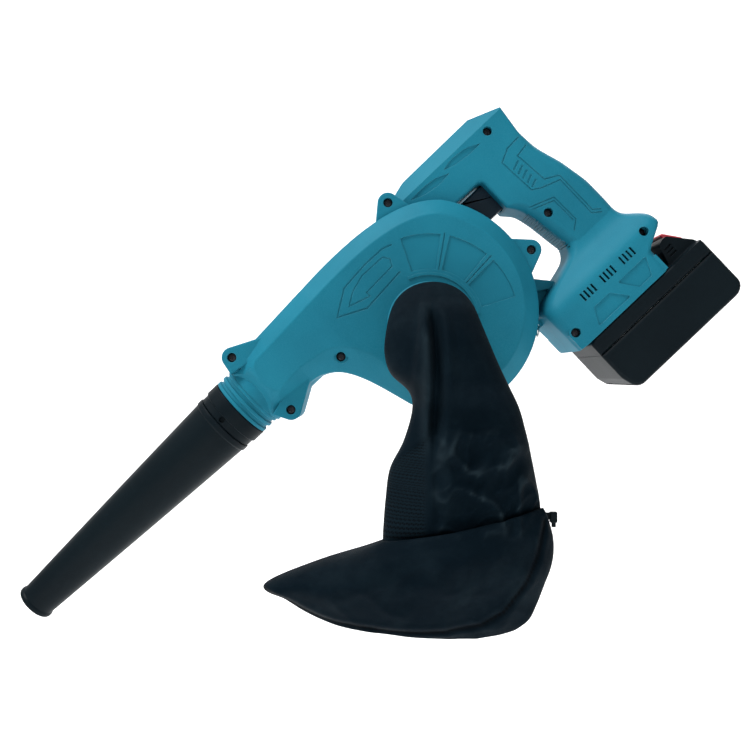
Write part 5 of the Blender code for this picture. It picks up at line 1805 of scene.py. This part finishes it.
    def cuff(self) -> bpy.types.Object:
        """Elastic cuff that grips the inlet, with a gathered hem."""
        near, far = -61 * MM, -44 * MM
        inner = 22.8 * MM
        profile = [(inner, far), (25.0 * MM, far), (25.4 * MM, far - 0.4 * MM), (25.4 * MM, -47 * MM),
                   (24.9 * MM, -47.6 * MM), (25.5 * MM, -48.4 * MM), (25.9 * MM, -52 * MM),
                   (25.6 * MM, -56 * MM), (25.1 * MM, -57.2 * MM), (25.3 * MM, -58.6 * MM),
                   (25.0 * MM, near + 1 * MM), (inner, near + 1 * MM)]
        piece = spun("dust_bag_cuff", profile, self.shop.carriage.fan, "Y", 144)
        for vertex in piece.data.vertices:
            away = vertex.co - self.shop.carriage.fan
            if math.hypot(away.x, away.z) > 24.5 * MM:
                gather = self.gather_depth * math.sin(self.gathers * math.atan2(away.z, away.x))
                vertex.co += Vector((away.x, 0, away.z)).normalized() * gather
        return piece

    def zip_pull(self) -> bpy.types.Object:
        """Zip slider with its pull tab, at the right-hand edge of the fold."""
        low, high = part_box("zip_slider")
        middle = (low + high) / 2
        body = block("zip_tab", (low.x, high.x), (low.y, high.y), (low.z + 3 * MM, high.z),
                     0.8 * MM, 3)
        pull = block("pull", (middle.x - 1.2 * MM, middle.x + 1.6 * MM),
                     (middle.y - 0.6 * MM, middle.y + 0.6 * MM), (low.z, low.z + 5 * MM), 0.4 * MM)
        join(body, pull)
        tape = block("tape", (low.x - 7 * MM, low.x + 2 * MM), (middle.y - 0.8 * MM, middle.y + 0.8 * MM),
                     (high.z - 5 * MM, high.z - 0.5 * MM), 0.3 * MM)
        return join(body, tape)

    def build(self) -> None:
        """Model the bag and hand it over."""
        cuff = self.cuff()
        finish_surface(cuff, 50)
        self.shop.register(cuff, "bag", ["bag_collar"], "black_plastic", Finish.NYLON_BAND)
        pull = self.zip_pull()
        finish_surface(pull)
        self.shop.register(pull, "bag", ["zip_slider"], "black_plastic", Finish.BLACK)
        cloth = self.cloth()
        self.shop.register(cloth, "bag", ["bag_cloth"], "bag_fabric", Finish.NYLON)


# ---------------------------------------------------------------- what stays of the frame

def dress_frame(nodes: dict[str, bpy.types.Object], paints: Paintbox) -> None:
    """Give each carried-over node its procedural finish."""
    plain = {
        "inlet_spigot": Finish.BLACK, "impeller": Finish.GREY, "motor_plate": Finish.BRIGHT_STEEL,
        "motor_can": Finish.BRIGHT_STEEL, "motor_shaft": Finish.BRIGHT_STEEL,
        "shaft_nut": Finish.BRIGHT_STEEL, "motor_end_cap": Finish.BLACK,
        "front_bush": Finish.BRONZE, "rear_bush": Finish.BRONZE,
        "magnet_upper": Finish.MAGNET, "magnet_lower": Finish.MAGNET, "rotor": Finish.COPPER,
        "commutator": Finish.COPPER, "switch_body": Finish.BLACK, "terminal_block": Finish.BLACK,
        "battery_lead": Finish.RED_WIRE, "motor_lead_red": Finish.RED_WIRE,
        "motor_lead_black": Finish.BLACK_WIRE, "trigger_spring": Finish.BRIGHT_STEEL,
        "cell_strap_near": Finish.BRIGHT_STEEL, "cell_strap_far": Finish.BRIGHT_STEEL,
    }
    for name, node in nodes.items():
        if node.hide_render:
            continue
        finish = Finish.CELL if name.startswith("cell_") and name not in plain else plain[name]
        paints.repaint(node, finish)


# ---------------------------------------------------------------- studio

@dataclass(frozen=True)
class Lamp:
    """Square soft light, placed from the fan axis in metres, with its power in watts."""

    name: str
    place: tuple[float, float, float]
    size: float
    power: float

    def hang(self, fan: Vector) -> None:
        """Add the light, turned towards the fan axis."""
        lamp = bpy.data.lights.new(self.name, "AREA")
        lamp.shape = "SQUARE"
        lamp.size = self.size
        lamp.energy = self.power
        thing = bpy.data.objects.new(self.name, lamp)
        thing.location = fan + Vector(self.place)
        thing.rotation_mode = "QUATERNION"
        thing.rotation_quaternion = (fan - thing.location).to_track_quat("-Z", "Y")
        bpy.context.scene.collection.objects.link(thing)


@dataclass
class Studio:
    """Pale sweep, soft lights and the camera."""

    floor_drop: float = 0.16
    floor_front: float = -2.5
    sweep_back: float = 1.5
    sweep_radius: float = 0.7
    sweep_height: float = 3.5
    sweep_half: float = 4.0
    glow: float = 0.38
    lamps: tuple[Lamp, ...] = (
        Lamp("key_light", (-0.85, -0.45, 1.5), 0.8, 36),
        Lamp("front_fill", (0.7, -1.9, 0.2), 1.6, 4),
        Lamp("back_rim", (0.5, 0.9, 1.1), 0.9, 10),
    )
    camera_place: tuple[float, float, float] = (-0.0381, -0.620, -0.0361)
    lens: float = 39.7
    film: float = 36

    def sweep(self, floor: float) -> None:
        """Seamless floor and back wall."""
        choose()
        section = [(self.floor_front, floor)]
        bend = 12
        for step in range(bend + 1):
            angle = math.pi / 2 * step / bend
            section.append((self.sweep_back + self.sweep_radius * math.sin(angle),
                            floor + self.sweep_radius * (1 - math.cos(angle))))
        section.append((self.sweep_back + self.sweep_radius, floor + self.sweep_height))
        bpy.ops.mesh.primitive_grid_add(x_subdivisions=1, y_subdivisions=len(section) - 1)
        piece = named("studio_sweep")
        place_vertices(piece, [(x, y, z) for y, z in section for x in (-self.sweep_half, self.sweep_half)])
        choose(piece)
        bpy.ops.object.shade_smooth()
        graph = Graph("studio_paper")
        tooth = graph.noise(graph.place(), 140.0, 3.0)
        shade = graph.mix(tooth, (0.90, 0.90, 0.90), (0.94, 0.94, 0.94))
        piece.data.materials.append(graph.surface(Base_Color=shade, Roughness=0.9 + tooth * 0.05,
                                                  Emission_Color=(1.0, 1.0, 1.0), Emission_Strength=0.5))
        piece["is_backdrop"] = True

    def sky(self) -> bpy.types.World:
        """White surroundings that light the tool more softly than they look."""
        sky = bpy.data.worlds.new("studio_sky")
        sky.use_nodes = True
        tree = sky.node_tree
        background = tree.nodes["Background"]
        background.inputs["Color"].default_value = (1, 1, 1, 1)
        path = tree.nodes.new("ShaderNodeLightPath")
        strength = tree.nodes.new("ShaderNodeMapRange")
        strength.inputs["To Min"].default_value = self.glow
        strength.inputs["To Max"].default_value = 1.0
        tree.links.new(path.outputs["Is Camera Ray"], strength.inputs["Value"])
        tree.links.new(strength.outputs["Result"], background.inputs["Strength"])
        return sky

    def build(self, fan: Vector) -> None:
        """Set up backdrop, lights, sky and camera."""
        scene = bpy.context.scene
        low, _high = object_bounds()
        self.sweep(low.z - self.floor_drop)
        for lamp in self.lamps:
            lamp.hang(fan)
        scene.world = self.sky()
        scene.view_settings.view_transform = "Standard"
        camera = bpy.data.cameras.new("camera")
        camera.sensor_width = self.film
        camera.lens = self.lens
        thing = bpy.data.objects.new("camera", camera)
        thing.location = fan + Vector(self.camera_place)
        thing.rotation_euler = (math.pi / 2, 0, 0)
        scene.collection.objects.link(thing)
        scene.camera = thing


def main() -> None:
    """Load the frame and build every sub-assembly around it."""
    logging.basicConfig(level=logging.INFO, format="%(name)s: %(message)s")
    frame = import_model()
    carriage = Carriage.from_joints(frame["joints"])
    shop = Workshop(carriage, Paintbox())
    casing = Casing(shop)
    Studio().build(carriage.fan)
    DustBag(shop).build()
    casing.build()
    Nozzle(shop).build()
    BatteryPack(shop).build()
    Trigger(shop).build()
    Screws(shop, casing.screws()).build()
    StrapRing(shop).build()
    dress_frame(frame["nodes"], shop.paints)


if __name__ == "__main__":
    main()
